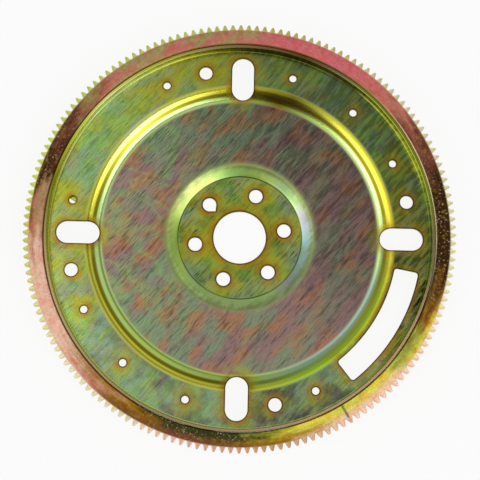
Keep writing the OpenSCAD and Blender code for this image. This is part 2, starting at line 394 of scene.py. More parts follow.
def rim_profile():
    """The rim's section from the annulus's front face, up the inside, over the edge and down to its back."""
    centre = (RIM_START_R, ANNULUS_Z + FLANGE_BEND)
    inner = FLANGE_R - SHEET
    b = EDGE_BREAK
    wall = np.linspace(centre[1], FLANGE_Z - b, WALL_POINTS + 2)
    return np.concatenate([
        arc_points(centre, FLANGE_BEND, -90, 0, BEND_POINTS),
        np.column_stack([np.full(WALL_POINTS, inner), wall[1:-1]]),
        [(inner, FLANGE_Z - b), (inner + b, FLANGE_Z), (FLANGE_R - b, FLANGE_Z), (FLANGE_R, FLANGE_Z - b)],
        arc_points(centre, FLANGE_BEND + SHEET, 0, -90, BEND_POINTS),
    ])


def band_faces(rows, columns):
    """Two triangles for each cell of a grid whose columns close into a ring."""
    index = np.arange(rows * columns).reshape(rows, columns)
    a, b = index[:-1], index[1:]
    c, d = np.roll(b, -1, axis=1), np.roll(a, -1, axis=1)
    return np.concatenate([
        np.stack([a, d, c], -1).reshape(-1, 3),
        np.stack([a, c, b], -1).reshape(-1, 3),
    ])


def plate_surface():
    """The whole plate in millimetres: lifted front, lifted back, hole walls and the rim."""
    radius = np.linalg.norm(plan, axis=1)
    drop = np.zeros(len(plan))
    for start, stop in outline_ranges:
        drop[start:stop] = EDGE_BREAK
    front = np.column_stack([plan, front_height(radius) - drop])
    back = np.column_stack([plan, back_height(radius) + drop])
    count = len(plan)
    parts = [plan_faces, plan_faces[:, ::-1] + count]
    for start, stop in outline_ranges:
        a = np.arange(start, stop)
        b = np.roll(a, -1)
        parts.append(np.stack([a, a + count, b + count], -1))
        parts.append(np.stack([a, b + count, b], -1))
    profile = rim_profile()
    degrees = np.arange(RIM_COLUMNS) * 360 / RIM_COLUMNS
    pull = np.clip((profile[:, 1] - ANNULUS_Z) / FLANGE_BEND, 0, 1)[:, None] * weld_pull(degrees)
    reach = profile[:, :1] + pull
    grid = np.stack([
        reach * np.cos(np.radians(degrees)),
        reach * np.sin(np.radians(degrees)),
        np.repeat(profile[:, 1:], RIM_COLUMNS, axis=1),
    ], -1)
    rows = len(profile)
    inner_rows = grid[1:-1].reshape(-1, 3)
    index = np.concatenate([
        np.arange(*rim_range),
        2 * count + np.arange((rows - 2) * RIM_COLUMNS),
        count + np.arange(*rim_range),
    ])
    parts.append(index[band_faces(rows, RIM_COLUMNS)])
    return np.concatenate([front, back, inner_rows]), np.concatenate(parts)


plate_points, plate_faces = plate_surface()
print("plate:", len(plate_points), "points,", len(plate_faces), "triangles")

# %% [markdown]
# ## The ring gear
# The starter's ring is a bar bent into a hoop and joined, then turned and cut with teeth. Its outline is an
# involute on each flank, with a round gap bottom and a tip whose corners are broken. One half tooth is worked
# out as a curve, mirrored and repeated by adding angles, so the whole outline is one array. Rows of that
# outline at different heights, together with plain circles on the faces, make a grid that closes both ways.

# %% The tooth's outline
TEETH = 164
TIP_R = 180.3
TOOTH_DEPTH = 4.8
ADDENDUM = 2.1
TOOTH_W = 3.1
PRESSURE_DEG = 20.0
FIRST_TOOTH_DEG = 0.9
ROOT_ROUND = 0.7
TIP_BREAK = 0.35
TIP_DROP = 0.1
TIP_EASE = 0.3
FLANK_POINTS = 6
ROOT_R = TIP_R - TOOTH_DEPTH
PITCH_R = TIP_R - ADDENDUM
BASE_R = PITCH_R * np.cos(np.radians(PRESSURE_DEG))


def involute(angle):
    """The involute function: the tangent of the angle less the angle."""
    return np.tan(angle) - angle


def half_tooth(radius):
    """Half of a tooth's angle at a radius: its half width on the pitch circle, corrected by the involute."""
    pressure = np.arccos(BASE_R / radius)
    return TOOTH_W / 2 / PITCH_R + involute(np.radians(PRESSURE_DEG)) - involute(pressure)


def half_outline():
    """Radius and angle along half a tooth, from the middle of the gap to the middle of the tip."""
    gap = np.pi / TEETH
    flank_r = np.linspace(ROOT_R + ROOT_ROUND, TIP_R - TIP_BREAK, FLANK_POINTS)
    flank = np.column_stack([flank_r, half_tooth(flank_r)])
    bottom_half = gap - half_tooth(ROOT_R + ROOT_ROUND)
    round_turn = np.radians(np.array([90, 60, 30]))
    bottom = np.column_stack([
        ROOT_R + ROOT_ROUND * (1 - np.sin(round_turn)),
        gap - bottom_half * np.cos(round_turn),
    ])
    tip_half, broken = half_tooth(TIP_R), TIP_BREAK / TIP_R
    tip = np.array([(TIP_R - TIP_DROP, tip_half - TIP_EASE * broken), (TIP_R, tip_half - broken)])
    return np.concatenate([bottom, flank, tip])


def ring_outline():
    """Plan points of the whole toothed outline, anticlockwise."""
    half = half_outline()
    before = np.column_stack([half[:, 0], -half[:, 1]])
    after = half[::-1][:-1]
    tooth = np.concatenate([before, after])
    middles = np.radians(FIRST_TOOTH_DEG) + np.arange(TEETH) * 2 * np.pi / TEETH
    radius = np.tile(tooth[:, 0], TEETH)
    turn = (middles[:, None] + tooth[None, :, 1]).ravel()
    return np.column_stack([radius * np.cos(turn), radius * np.sin(turn)])


outline = ring_outline()
print("ring outline:", len(outline), "points,", len(outline) // TEETH, "to a tooth")

# %% The ring's surface
RING_LOW, RING_HIGH = (corner[2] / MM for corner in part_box("ring_gear"))
RING_GAP = 0.1
RING_IN_R = FLANGE_R + RING_GAP
RING_CHAMFER = 1.0
PINION_BEVEL = 1.5
BEVEL_IN_R = ROOT_R + ROOT_ROUND / 2
RING_BREAK = 0.25
FACE_MARGIN = 0.6
LIP_MARGIN = 0.5
SEAM_DEG = 301.5
SEAM_DEPTH = 0.4
SEAM_W = 1.2


def ring_surface():
    """Rows of the ring's section, each a closed row of points: inner wall, front face, teeth, back face."""
    reach = np.linalg.norm(outline, axis=1)
    turn = np.unwrap(np.arctan2(outline[:, 1], outline[:, 0]))
    circle = np.stack([np.cos(turn), np.sin(turn)], -1)
    inset = grown(outline, -RING_BREAK)
    bevel = PINION_BEVEL / (TIP_R - BEVEL_IN_R)
    lower = RING_HIGH - bevel * np.clip(reach - BEVEL_IN_R, 0, None)
    away = (np.degrees(turn) - SEAM_DEG + 180) % 360 - 180
    seam = SEAM_DEPTH * np.exp(-(np.radians(away) * PITCH_R / (SEAM_W / 2)) ** 2)

    def row(radius, height):
        """A plain circle at a height, with a point for each point of the outline."""
        return np.column_stack([circle * radius, np.full(len(turn), height)])

    rows = [
        row(RING_IN_R, RING_LOW + RING_BREAK),
        row(RING_IN_R, RING_HIGH - RING_CHAMFER),
        row(RING_IN_R + RING_CHAMFER, RING_HIGH),
        row(RING_IN_R + RING_CHAMFER + LIP_MARGIN, RING_HIGH),
        row((RING_IN_R + ROOT_R) / 2, RING_HIGH),
        row(ROOT_R - FACE_MARGIN, RING_HIGH),
        np.column_stack([inset, lower]),
        np.column_stack([outline, lower - RING_BREAK]),
        np.column_stack([outline, np.full(len(turn), RING_LOW + RING_BREAK)]),
        np.column_stack([inset, np.full(len(turn), RING_LOW)]),
        row(ROOT_R - FACE_MARGIN, RING_LOW),
        row(RING_IN_R + RING_BREAK, RING_LOW),
    ]
    for face_row in rows[2:7]:
        face_row[:, 2] -= seam
    rows.append(rows[0])
    count = len(turn)
    points = np.concatenate(rows[:-1])
    faces = band_faces(len(rows), count) % len(points)
    return points, faces


ring_points, ring_faces = ring_surface()
print("ring:", len(ring_points), "points,", len(ring_faces), "triangles")

# %% [markdown]
# ## Weld beads and the balance weight
# Twelve short stitch welds behind the ring hold it on the rim, and four more hold a cut slab that balances
# the plate, on the back, across from the window. A bead is a fan-shaped section carried along a path. Its
# radius rises and falls a little with each step of the electrode and runs out at both ends, which is what
# makes a weld look like a weld. The slab is a rounded rectangle carried across the plate.

# %% Beads along a path
BEAD_RIPPLE = 0.07
BEAD_PITCH = 1.7
BEAD_R = 3.0
BEAD_END = 0.002
HEEL_DEG = 225.0
HEEL_SHARE = 0.25
ARC_STATIONS = 48
FAN_RANGE = (-14, 104)
FAN_POINTS = 11
FAN_DEG = np.concatenate([np.linspace(*FAN_RANGE, FAN_POINTS), [HEEL_DEG]])
STRAIGHT_DOWN = (0.0, 0.0, -1.0)


def bead(centre, side, down, length):
    """A bead along a path of centres: at each, a fan from the side vector to the down vector.

    The radius is the bead's own times a ripple, a sine of the distance along it, and times a taper, the
    fourth root of one less the square of the place, which runs out at both ends. The last point of each
    section lies behind the corner, inside the steel.
    """
    place = np.linspace(-1, 1, len(centre))
    ripple = 1 + BEAD_RIPPLE * (np.sin(np.pi * place * length / BEAD_PITCH) - 1)
    radius = BEAD_R * ripple * np.clip(1 - place ** 2, BEAD_END, 1) ** 0.25
    turn = np.radians(FAN_DEG)
    share = np.where(FAN_DEG == HEEL_DEG, HEEL_SHARE, 1.0)
    fan = side[:, None, :] * (share * np.cos(turn))[None, :, None]
    fan = fan + down[:, None, :] * (share * np.sin(turn))[None, :, None]
    points = centre[:, None, :] + radius[:, None, None] * fan
    return points.reshape(-1, 3), tube_faces(len(centre), len(FAN_DEG))


def tube_faces(stations, around):
    """Quads of a closed tube whose sections follow each other, with a flat cap at each end."""
    index = np.arange(stations * around).reshape(stations, around)
    a, b = index[:-1], index[1:]
    quads = np.stack([a, b, np.roll(b, -1, axis=1), np.roll(a, -1, axis=1)], -1).reshape(-1, 4)
    caps = [index[0].tolist(), index[-1, ::-1].tolist()]
    return [tuple(face) for face in quads.tolist() + caps]


def arc_bead(radius, height, middle_deg, span_deg, outward):
    """A bead on a circle about the axis. It faces out from the axis, or in when outward is -1."""
    turn = np.radians(middle_deg + span_deg * np.linspace(-0.5, 0.5, ARC_STATIONS))
    away = np.column_stack([np.cos(turn), np.sin(turn), np.zeros(len(turn))])
    centre = radius * away + np.array([0, 0, height])
    down = np.tile(STRAIGHT_DOWN, (len(turn), 1))
    return bead(centre, outward * away, down, radius * np.radians(span_deg))


def joined(parts):
    """Several point and face lists as one, with the faces' numbers moved along."""
    starts = np.cumsum([0] + [len(points) for points, _ in parts])
    faces = [tuple(i + start for i in face) for start, (_, found) in zip(starts, parts) for face in found]
    return np.concatenate([points for points, _ in parts]), faces


STITCH_SPAN_DEG = 8.0
stitch_degs = WELD_FIRST_DEG + np.arange(WELD_COUNT) * 360 / WELD_COUNT
stitch_points, stitch_faces = joined(
    [arc_bead(RING_IN_R, RING_LOW, degrees, STITCH_SPAN_DEG, 1) for degrees in stitch_degs]
)
print("stitches:", len(stitch_points), "points")

# %% The balance weight
SLAB_R = (134.0, 157.0)
SLAB_W = 98.0
SLAB_DEG = WINDOW_MID_DEG - 180
SLAB_LOW, SLAB_HIGH = (corner[2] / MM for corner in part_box("balance_weight"))
SLAB_ROUND = 0.7
SLAB_BEAD_DEG = 10.0
SLAB_BEAD_LEN = 16.0
SLAB_STATIONS = 40
SLAB_MARGIN = 2.0
END_STATIONS = 24
CORNER_POINTS = 5


def rounded_box(low, high, corner):
    """A loop round a rectangle whose corners are quarter circles."""
    loop = []
    for right, top, start in ((1, 1, 0), (0, 1, 90), (0, 0, 180), (1, 0, 270)):
        centre = (
            high[0] - corner if right else low[0] + corner,
            high[1] - corner if top else low[1] + corner,
        )
        loop.append(arc_points(centre, corner, start, start + 90, CORNER_POINTS))
    return np.concatenate(loop)


def slab_surface():
    """Sections across the slab: each runs between the inner and outer arc at its distance from the middle.

    The first and last sections are drawn in by the corner radius, which rounds the straight ends.
    """
    half = SLAB_W / 2
    quarter = np.radians([0, 30, 60, 90])
    ends = half - SLAB_ROUND * (1 - np.cos(quarter))
    inset = SLAB_ROUND * (1 - np.sin(quarter))
    body = np.linspace(SLAB_MARGIN - half, half - SLAB_MARGIN, SLAB_STATIONS)
    across = np.concatenate([-ends, body, ends[::-1]])
    draw_in = np.concatenate([inset, np.zeros(SLAB_STATIONS), inset[::-1]])
    near = np.sqrt(SLAB_R[0] ** 2 - across ** 2) + draw_in
    far = np.sqrt(SLAB_R[1] ** 2 - across ** 2) - draw_in
    low, high = SLAB_LOW + draw_in, SLAB_HIGH - draw_in
    sections = []
    for x0, x1, z0, z1, y in zip(near, far, low, high, across):
        loop = rounded_box((x0, z0), (x1, z1), SLAB_ROUND)
        sections.append(np.column_stack([loop[:, 0], np.full(len(loop), y), loop[:, 1]]))
    points = np.concatenate(sections)
    points[:, :2] = turned(points[:, :2], SLAB_DEG)
    return points, tube_faces(len(across), len(sections[0]))


def end_bead(sign):
    """A straight bead along one end of the slab, from its outer corner inwards."""
    far = np.sqrt(SLAB_R[1] ** 2 - SLAB_W ** 2 / 4)
    n = END_STATIONS
    along = np.linspace(far - SLAB_BEAD_LEN / 2, far, n)
    centre = np.column_stack([along, np.full(n, sign * SLAB_W / 2), np.full(n, SLAB_HIGH)])
    side = np.tile([0.0, float(sign), 0.0], (n, 1))
    down = np.tile(STRAIGHT_DOWN, (n, 1))
    points, faces = bead(centre, side, down, SLAB_BEAD_LEN / 2)
    points[:, :2] = turned(points[:, :2], SLAB_DEG)
    return points, faces


slab_points, slab_faces = slab_surface()
slab_bead_span = np.degrees(SLAB_BEAD_LEN / SLAB_R[0])
slab_bead_points, slab_bead_faces = joined(
    [arc_bead(SLAB_R[0], SLAB_HIGH, SLAB_DEG + sign * SLAB_BEAD_DEG, slab_bead_span, -1) for sign in (-1, 1)]
    + [end_bead(sign) for sign in (-1, 1)]
)
print("slab:", len(slab_points), "points; its beads:", len(slab_bead_points), "points")

# %% [markdown]
# ## Small tools for shader nodes
# A material is a tree of nodes, and writing one by hand takes three lines for every node. These helpers make
# a node, set its sockets or link them, and hand back the socket that comes out, so that the materials below
# read like sums. A socket knows the tree that it lies in, so most helpers need not be told. Colours are named
# after what they look like on the part.

# %% Node helpers and the palette


def srgb(red, green, blue):
    """A colour seen on a screen, 0 to 255, as linear light with full alpha."""
    share = np.array([red, green, blue]) / 255
    linear = np.where(share <= 0.04045, share / 12.92, ((share + 0.055) / 1.055) ** 2.4)
    return (*linear.tolist(), 1.0)


def wire(tree, socket, source):
    """Link a socket to another, or give it a value."""
    if isinstance(source, bpy.types.NodeSocket):
        tree.links.new(source, socket)
    else:
        socket.default_value = source


def tree_of(*sources):
    """The node tree that the first socket among the sources belongs to."""
    return next(source.id_data for source in sources if isinstance(source, bpy.types.NodeSocket))


def node(tree, kind, inputs, **settings):
    """Add a node, with settings first because they can change its sockets."""
    made = tree.nodes.new("ShaderNode" + kind)
    for key, value in settings.items():
        setattr(made, key, value)
    for key, source in inputs.items():
        wire(tree, made.inputs[key], source)
    return made


def calc(operation, *terms, clamp=False):
    """A sum, product or other operation on values."""
    inputs = dict(enumerate(terms))
    return node(tree_of(*terms), "Math", inputs, operation=operation, use_clamp=clamp).outputs[0]


def times(product, *factors):
    """A product of values."""
    for factor in factors:
        product = calc("MULTIPLY", product, factor)
    return product


def mix(share, low, high, mode="MIX"):
    """A colour between two others."""
    inputs = {0: share, 6: low, 7: high}
    tree = tree_of(share, low, high)
    return node(tree, "Mix", inputs, data_type="RGBA", blend_type=mode).outputs[2]


def layered(colour, *layers):
    """A colour with others laid over it in turn, each given as a mask and a colour."""
    for mask, tint in layers:
        colour = mix(mask, colour, tint)
    return colour


def rise(value, start, stop, low=0.0, high=1.0):
    """A soft step from low to high while the value goes from start to stop."""
    inputs = dict(enumerate((value, start, stop, low, high)))
    return node(tree_of(value), "MapRange", inputs, interpolation_type="SMOOTHSTEP").outputs[0]


def ramp(value, stops):
    """A colour looked up along a row of stops, each a place from 0 to 1 and a colour."""
    made = node(tree_of(value), "ValToRGB", {0: value})
    row = made.color_ramp.elements
    row[0].position, row[0].color = stops[0]
    row[1].position, row[1].color = stops[-1]
    for place, colour in stops[1:-1]:
        row.new(place).color = colour
    return made.outputs[0]


def new_group(name, inputs, outputs):
    """An empty node group with value sockets, given as names and starting values."""
    group = bpy.data.node_groups.new(name, "ShaderNodeTree")
    for label, value in inputs.items():
        socket = group.interface.new_socket(label, in_out="INPUT", socket_type="NodeSocketFloat")
        socket.default_value = value
    for label in outputs:
        group.interface.new_socket(label, in_out="OUTPUT", socket_type="NodeSocketFloat")
    return group, group.nodes.new("NodeGroupInput"), group.nodes.new("NodeGroupOutput")


def use(tree, group, **inputs):
    """Place a group in a tree and set or link its sockets."""
    made = tree.nodes.new("ShaderNodeGroup")
    made.node_tree = group
    for key, source in inputs.items():
        wire(tree, made.inputs[key], source)
    return made.outputs


def principled(name):
    """A new material, its tree and its main shader."""
    material = bpy.data.materials.new(name)
    material.use_nodes = True
    return material, material.node_tree, material.node_tree.nodes["Principled BSDF"]


def plated(tree, shader, colour, roughness, grain, strength, depth):
    """Make a shader into metal of a colour and a roughness, with a grain as bump of a depth in metres."""
    bump = node(tree, "Bump", {"Strength": strength, "Distance": depth, "Height": grain})
    wire(tree, shader.inputs["Base Color"], colour)
    shader.inputs["Metallic"].default_value = 1.0
    wire(tree, shader.inputs["Roughness"], roughness)
    wire(tree, shader.inputs["Normal"], bump.outputs[0])


MAUVE = srgb(166, 135, 129)
SAGE = srgb(146, 165, 131)
RUST = srgb(198, 138, 94)
PLUM = srgb(112, 96, 96)
LEAF = srgb(155, 202, 107)
OLIVE = srgb(187, 193, 58)
SLATE = srgb(147, 175, 150)
GRASS = srgb(124, 163, 71)
CITRON = srgb(174, 180, 40)
# Painted shade on the hub's top bend, with a green hue
FERN_SHADE = srgb(146, 166, 92)
AMBER = srgb(178, 124, 26)
UMBER = srgb(62, 42, 18)
LEMON = srgb(236, 232, 78)
SULPHUR = srgb(226, 206, 58)
ACID = srgb(186, 228, 58)
OCHRE = srgb(124, 118, 12)
MINT = srgb(206, 240, 156)
LIME = srgb(196, 226, 112)
ICE = srgb(190, 230, 228)
LILAC = srgb(198, 194, 214)
MOSS = srgb(58, 70, 34)
STRAW = srgb(228, 222, 126)
TAN = srgb(172, 150, 100)
CREAM = srgb(250, 242, 200)
PINK = srgb(240, 132, 138)
CLAY = srgb(218, 142, 120)
SAND = srgb(205, 168, 126)
MAROON = srgb(140, 82, 64)
SALMON = srgb(255, 212, 186)
GOLD = srgb(252, 238, 84)
BROWN = srgb(138, 98, 42)
# Soot-dark for the rolling streaks, and also the colour of painted shade on the flats and on the top of the
# rim's wall
SOOT_AND_SHADE = srgb(40, 40, 30)
CELADON = srgb(176, 208, 178)
PEAR = srgb(240, 250, 150)
BLUSH = srgb(255, 190, 190)
print("palette of 35 colours")

# %% [markdown]
# ## Effects that several finishes share
# Four things appear all over the part. Its colours follow the turned shape, so a material has to know its
# radius and its angle. The zinc skin grew in clouds of slightly different thickness, each with its own hue.
# The steel underneath keeps the fine lines of the rolling mill, and the ring those of the lathe. Each is a
# node group with named sockets, built once and placed where it is needed. All of them read Object
# coordinates, so they stay on the part.

# %% Node groups
NOISE_ROUGHNESS = 0.58
CLOUD_DETAIL = 5.0
LINE_LEVELS = (0.3, 0.7)


def polar_group():
    """Radius in millimetres, angle as a share of a turn, and height in millimetres."""
    group, _, out = new_group("turned_place", {}, ("Radius", "Turn", "Height"))
    place = node(group, "TexCoord", {}).outputs["Object"]
    parts = node(group, "SeparateXYZ", {0: place}).outputs
    squares = [times(part, part) for part in (parts[0], parts[1])]
    reach = calc("SQRT", calc("ADD", *squares))
    turn = calc("DIVIDE", calc("ARCTAN2", parts[1], parts[0]), 2 * np.pi)
    wire(group, out.inputs["Radius"], calc("DIVIDE", reach, MM))
    wire(group, out.inputs["Turn"], calc("FRACT", calc("ADD", turn, 1.0)))
    wire(group, out.inputs["Height"], calc("DIVIDE", parts[2], MM))
    return group


def noise(group, place, seed, scale=1.0, detail=3.0):
    """Soft noise at a place, whose fourth coordinate is the seed."""
    inputs = {"Vector": place, "W": seed, "Scale": scale, "Detail": detail, "Roughness": NOISE_ROUGHNESS}
    return node(group, "TexNoise", inputs, noise_dimensions="4D").outputs[0]


def per_mm(length):
    """How often a length in millimetres goes into a metre, the unit of the coordinates."""
    return calc("DIVIDE", 1 / MM, length)


def cloud_group():
    """A soft blotch mask: noise of a size in millimetres, stretched between two levels."""
    sockets = {"Size": 20, "Seed": 0, "Low": 0.42, "High": 0.62}
    group, given, out = new_group("plating_clouds", sockets, ("Mask",))
    place = node(group, "TexCoord", {}).outputs["Object"]
    given = given.outputs
    blotches = noise(group, place, given["Seed"], per_mm(given["Size"]), CLOUD_DETAIL)
    wire(group, out.inputs["Mask"], rise(blotches, given["Low"], given["High"]))
    return group


def rolling_group():
    """Lines along one direction: noise stretched by a length and squeezed to a width, in millimetres."""
    sockets = {"Angle": 0, "Length": 14, "Width": 0.9, "Seed": 0, "Detail": 3}
    group, given, out = new_group("rolling_lines", sockets, ("Lines",))
    given = given.outputs
    place = node(group, "TexCoord", {}).outputs["Object"]
    turn = node(group, "CombineXYZ", {2: times(given["Angle"], -1.0)}).outputs[0]
    facing = node(group, "VectorRotate", {"Vector": place, "Rotation": turn}, rotation_type="EULER_XYZ")
    along, across = per_mm(given["Length"]), per_mm(given["Width"])
    squeeze = node(group, "CombineXYZ", {0: along, 1: across, 2: along}).outputs[0]
    lines = node(group, "VectorMath", {0: facing.outputs[0], 1: squeeze}, operation="MULTIPLY").outputs[0]
    shade = noise(group, lines, given["Seed"], detail=given["Detail"])
    wire(group, out.inputs["Lines"], rise(shade, *LINE_LEVELS))
    return group


def hoop_group():
    """Lines round the axis: noise over the direction from the axis and the radius, so that it has no seam."""
    sockets = {"Length": 30, "Width": 3, "Seed": 0}
    group, given, out = new_group("hoop_lines", sockets, ("Lines",))
    given = given.outputs
    place = node(group, "TexCoord", {}).outputs["Object"]
    flat = node(group, "VectorMath", {0: place, 1: (1.0, 1.0, 0.0)}, operation="MULTIPLY").outputs[0]
    reach = node(group, "VectorMath", {0: flat}, operation="LENGTH").outputs["Value"]
    facing = node(group, "VectorMath", {0: flat}, operation="NORMALIZE").outputs[0]
    around = calc("DIVIDE", PITCH_R, given["Length"])
    turns = node(group, "VectorMath", {0: facing, "Scale": around}, operation="SCALE").outputs[0]
    across = times(reach, per_mm(given["Width"]))
    rows = node(group, "CombineXYZ", {2: across}).outputs[0]
    spot = node(group, "VectorMath", {0: turns, 1: rows}, operation="ADD").outputs[0]
    wire(group, out.inputs["Lines"], rise(noise(group, spot, given["Seed"]), *LINE_LEVELS))
    return group


TURNED = polar_group()
CLOUDS = cloud_group()
ROLLING = rolling_group()
HOOP = hoop_group()


def clouds(tree, size, seed, low=0.42, high=0.62, share=1.0):
    """A cloud mask from the group, weakened to a share."""
    mask = use(tree, CLOUDS, Size=size, Seed=seed, Low=low, High=high)["Mask"]
    return mask if share == 1.0 else times(mask, share)


print("groups:", TURNED.name, CLOUDS.name, ROLLING.name, HOOP.name)

# %% [markdown]
# ## The finish of the sheet
# Yellow zinc over rolled steel has no single colour. The flat disc is mauve with green and rust streaks along
# the rolling direction, the raised annulus is leaf green and olive, and every bend has a stripe of its own.
# Each stripe is partly the skin's own hue, thinner where the sheet was stretched, and partly painted
# highlights and painted shade where the bends mirror the bright and dark parts of the room. The rim's wall
# has a painted highlight at its foot and painted shade towards its top. Round the holes, where the sheet was
# sheared, the skin turns amber and then brown. So the colour is chosen by the radius first, then varied round
# the axis by tables, each a row of angles with a named colour or a share, then by clouds and streaks, and
# changed near the holes by a distance that the mesh carries as an attribute. Last, painted shade darkens the
# flats where they mirror the darker parts of the room. The rolling lines go over the flats, in the colour and
# in the bump, and leave out the bends, which the die has polished.

# %% Tables round the axis
SAGE_SHARE = ((0, 0.25), (60, 0.3), (85, 0.5), (105, 0.9), (125, 0.6), (150, 0.15), (180, 0.3), (205, 0.7),
              (225, 0.95), (250, 0.5), (290, 0.4), (320, 0.15), (360, 0.25))
SLATE_SHARE = ((0, 0.2), (60, 0.3), (95, 0.0), (130, 0.3), (185, 0.2), (215, 0.6), (250, 0.9), (300, 0.9),
               (330, 0.2), (360, 0.2))
OLIVE_SHARE = ((0, 0.7), (30, 0.5), (60, 0.3), (95, 1.0), (120, 0.6), (150, 0.35), (178, 0.8), (200, 0.7),
               (225, 0.3), (300, 0.3), (330, 0.6), (360, 0.7))
PLUM_SHARE = ((0, 0.25), (60, 0.15), (90, 0.0), (150, 0.1), (200, 0.3), (235, 0.6), (275, 0.85), (320, 0.8),
              (345, 0.4), (360, 0.25))
DRIP_SHARE = ((0, 0.0), (95, 0.0), (120, 0.3), (215, 0.35), (245, 0.0), (360, 0.0))
# The slope's, foot's, crest's, bend's and wall's tints are partly the skin's own hue and partly painted
# highlights where the bends mirror the softboxes and lighter lobes, with painted shade in their darkest
# stops. The dip's tint is painted shade on the step's mid slope, with some hue. WALL_SHADE is painted shade
# on the top of the rim's wall, and the disc's and annulus's shades are painted shade where the flats mirror
# the dark room.
SLOPE_TINT_AND_HIGHLIGHT = ((0, ICE), (18, LILAC), (34, MINT), (48, SAGE), (70, LIME), (100, LEAF), (124, PEAR),
              (150, PEAR), (165, LIME), (205, LIME), (235, MINT), (300, MINT), (318, LILAC), (342, ICE),
              (360, ICE))
FOOT_TINT_AND_HIGHLIGHT = ((0, MINT), (40, MINT), (58, LIME), (75, OCHRE), (95, LIME), (106, MINT), (180, MINT),
             (225, LIME), (275, LIME), (300, CELADON), (340, CELADON), (350, MINT), (360, MINT))
DIP_TINT_AND_SHADE = ((0, OCHRE), (50, OCHRE), (70, BROWN), (90, OCHRE), (112, OCHRE), (135, CITRON), (158, OCHRE),
            (265, OCHRE), (300, LEAF), (330, OLIVE), (360, OCHRE))
DIP_SHIFT = ((0, 0.0), (165, 0.0), (195, 1.6), (285, 1.0), (310, 0.0), (360, 0.0))
CREST_TINT_AND_HIGHLIGHT = ((0, SULPHUR), (50, LEMON), (70, OCHRE), (92, SULPHUR), (108, LEMON), (135, PEAR), (162, LEMON),
              (265, LEMON), (300, ACID), (338, ACID), (352, SULPHUR), (360, SULPHUR))
BEND_TINT_AND_HIGHLIGHT = ((0, GRASS), (16, GRASS), (24, OLIVE), (46, OLIVE), (54, MOSS), (64, CITRON), (80, CITRON),
             (95, OLIVE), (118, CITRON), (130, GRASS), (145, GRASS), (160, CITRON), (180, OLIVE), (225, LIME),
             (285, MINT), (305, MINT), (340, GRASS), (360, GRASS))
WALL_TINT_AND_HIGHLIGHT = ((0, OCHRE), (12, OLIVE), (22, LEMON), (46, LEMON), (54, OCHRE), (64, MOSS), (88, MOSS),
             (104, LEMON), (122, CREAM), (160, CREAM), (176, LEMON), (190, STRAW), (260, STRAW), (300, LEMON),
             (330, LEMON), (345, ACID), (360, OCHRE))
WALL_SHADE = ((0, 0.1), (22, 0.3), (45, 0.9), (95, 0.9), (112, 0.75), (135, 0.35), (160, 0.35), (200, 0.3),
              (250, 0.0), (345, 0.0), (360, 0.1))
END_TINT = ((0, TAN), (15, OLIVE), (48, OLIVE), (60, TAN), (72, BROWN), (95, TAN), (118, OLIVE), (135, STRAW),
            (150, OLIVE), (165, OCHRE), (190, TAN), (250, TAN), (285, SAND), (335, SAND), (350, TAN),
            (360, TAN))
ANNULUS_SHADE = ((0, 0.5), (45, 0.45), (80, 0.4), (100, 0.1), (120, 0.0), (262, 0.0), (285, 0.4), (315, 0.3),
                 (340, 0.9), (360, 0.5))
DISC_SHADE = ((0, 0.38), (45, 0.45), (80, 0.42), (105, 0.3), (130, 0.1), (150, 0.0), (310, 0.0), (332, 0.2),
              (350, 0.38), (360, 0.38))


def round_the_hoop(turn, stops):
    """A colour, or a share when the stops are numbers, looked up by the angle in degrees."""
    row = []
    for at, shade in stops:
        row.append((at / 360, shade if isinstance(shade, tuple) else (shade, shade, shade, 1.0)))
    return ramp(turn, row)


print("stops round the rim's wall:", len(WALL_TINT_AND_HIGHLIGHT), "and its end:", len(END_TINT))

# %% Masks of the sheet
ROLL_ANGLE = float(np.radians(50.0))
# Streaks: length and width in millimetres, seed, and the levels between which they show
SAGE_STREAKS = (60.0, 20.0, 1.0, 0.2, 0.8)
RUST_STREAKS = (26.0, 14.0, 2.0, 0.35, 1.1)
SLATE_STREAKS = (40.0, 16.0, 4.0, 0.25, 0.75)
FRAY_STREAKS = (12.0, 3.0, 5.0, 0.0, 1.0)
FINE_STREAKS = (7.5, 0.7, 0.0, 0.45, 1.0)
BROAD_STREAKS = (18.0, 2.2, 3.0, 0.45, 1.0)
SHADE_STREAKS = (15.0, 3.0, 14.0, 0.2, 0.8)
# Clouds: size in millimetres, seed, the levels between which they show, and the share that is kept
COOL_CLOUDS = (11, 43.0, 0.5, 0.62, 0.4)
WARM_CLOUDS = (9, 45.0, 0.52, 0.64, 0.28)
OLIVE_CLOUDS = (30, 3.0, 0.38, 0.64)
PLUM_CLOUDS = (28, 9.0, 0.44, 0.56)
GRASS_CLOUDS = (22, 5.0, 0.38, 0.54)
MOSS_CLOUDS = (24, 41.0, 0.5, 0.66, 0.5)
HUB_SAGE_CLOUDS = (16, 49.0, 0.38, 0.56)
SLOPE_CLOUDS = (14, 6.0, 0.45, 0.62, 0.5)
GLOW_CLOUDS = (12, 17.0, 0.36, 0.6)
HALO_CLOUDS = (9, 7.0, 0.3, 0.6)
# Radii or heights, in millimetres, over which one look gives way to the next
HUB_TO_DISC = (51.8, 53.2)
DISC_TO_ANNULUS = (128.5, 131.5)
SLOPE_START = (52.4, 53.2)
SLOPE_FADE = (57.0, 64.0, 1.0, 0.0)
RIM_BEND = (160.0, 161.0)
RIM_EDGE = (RIM_START_R - 0.4, RIM_START_R + 0.3)
WALL_EDGE = (ANNULUS_Z + 0.1, ANNULUS_Z + 0.5)
WALL_TOP = (ANNULUS_Z + 1.2, ANNULUS_Z + 5.0)
END_EDGE = (FLANGE_Z - 0.7, FLANGE_Z - 0.2)
# Bands: the two radii between which each lies, and the width of its soft edges
# Painted shade over the hub's top bend
FERN_SHADE_BAND = (56.0, 64.0, 3.0)
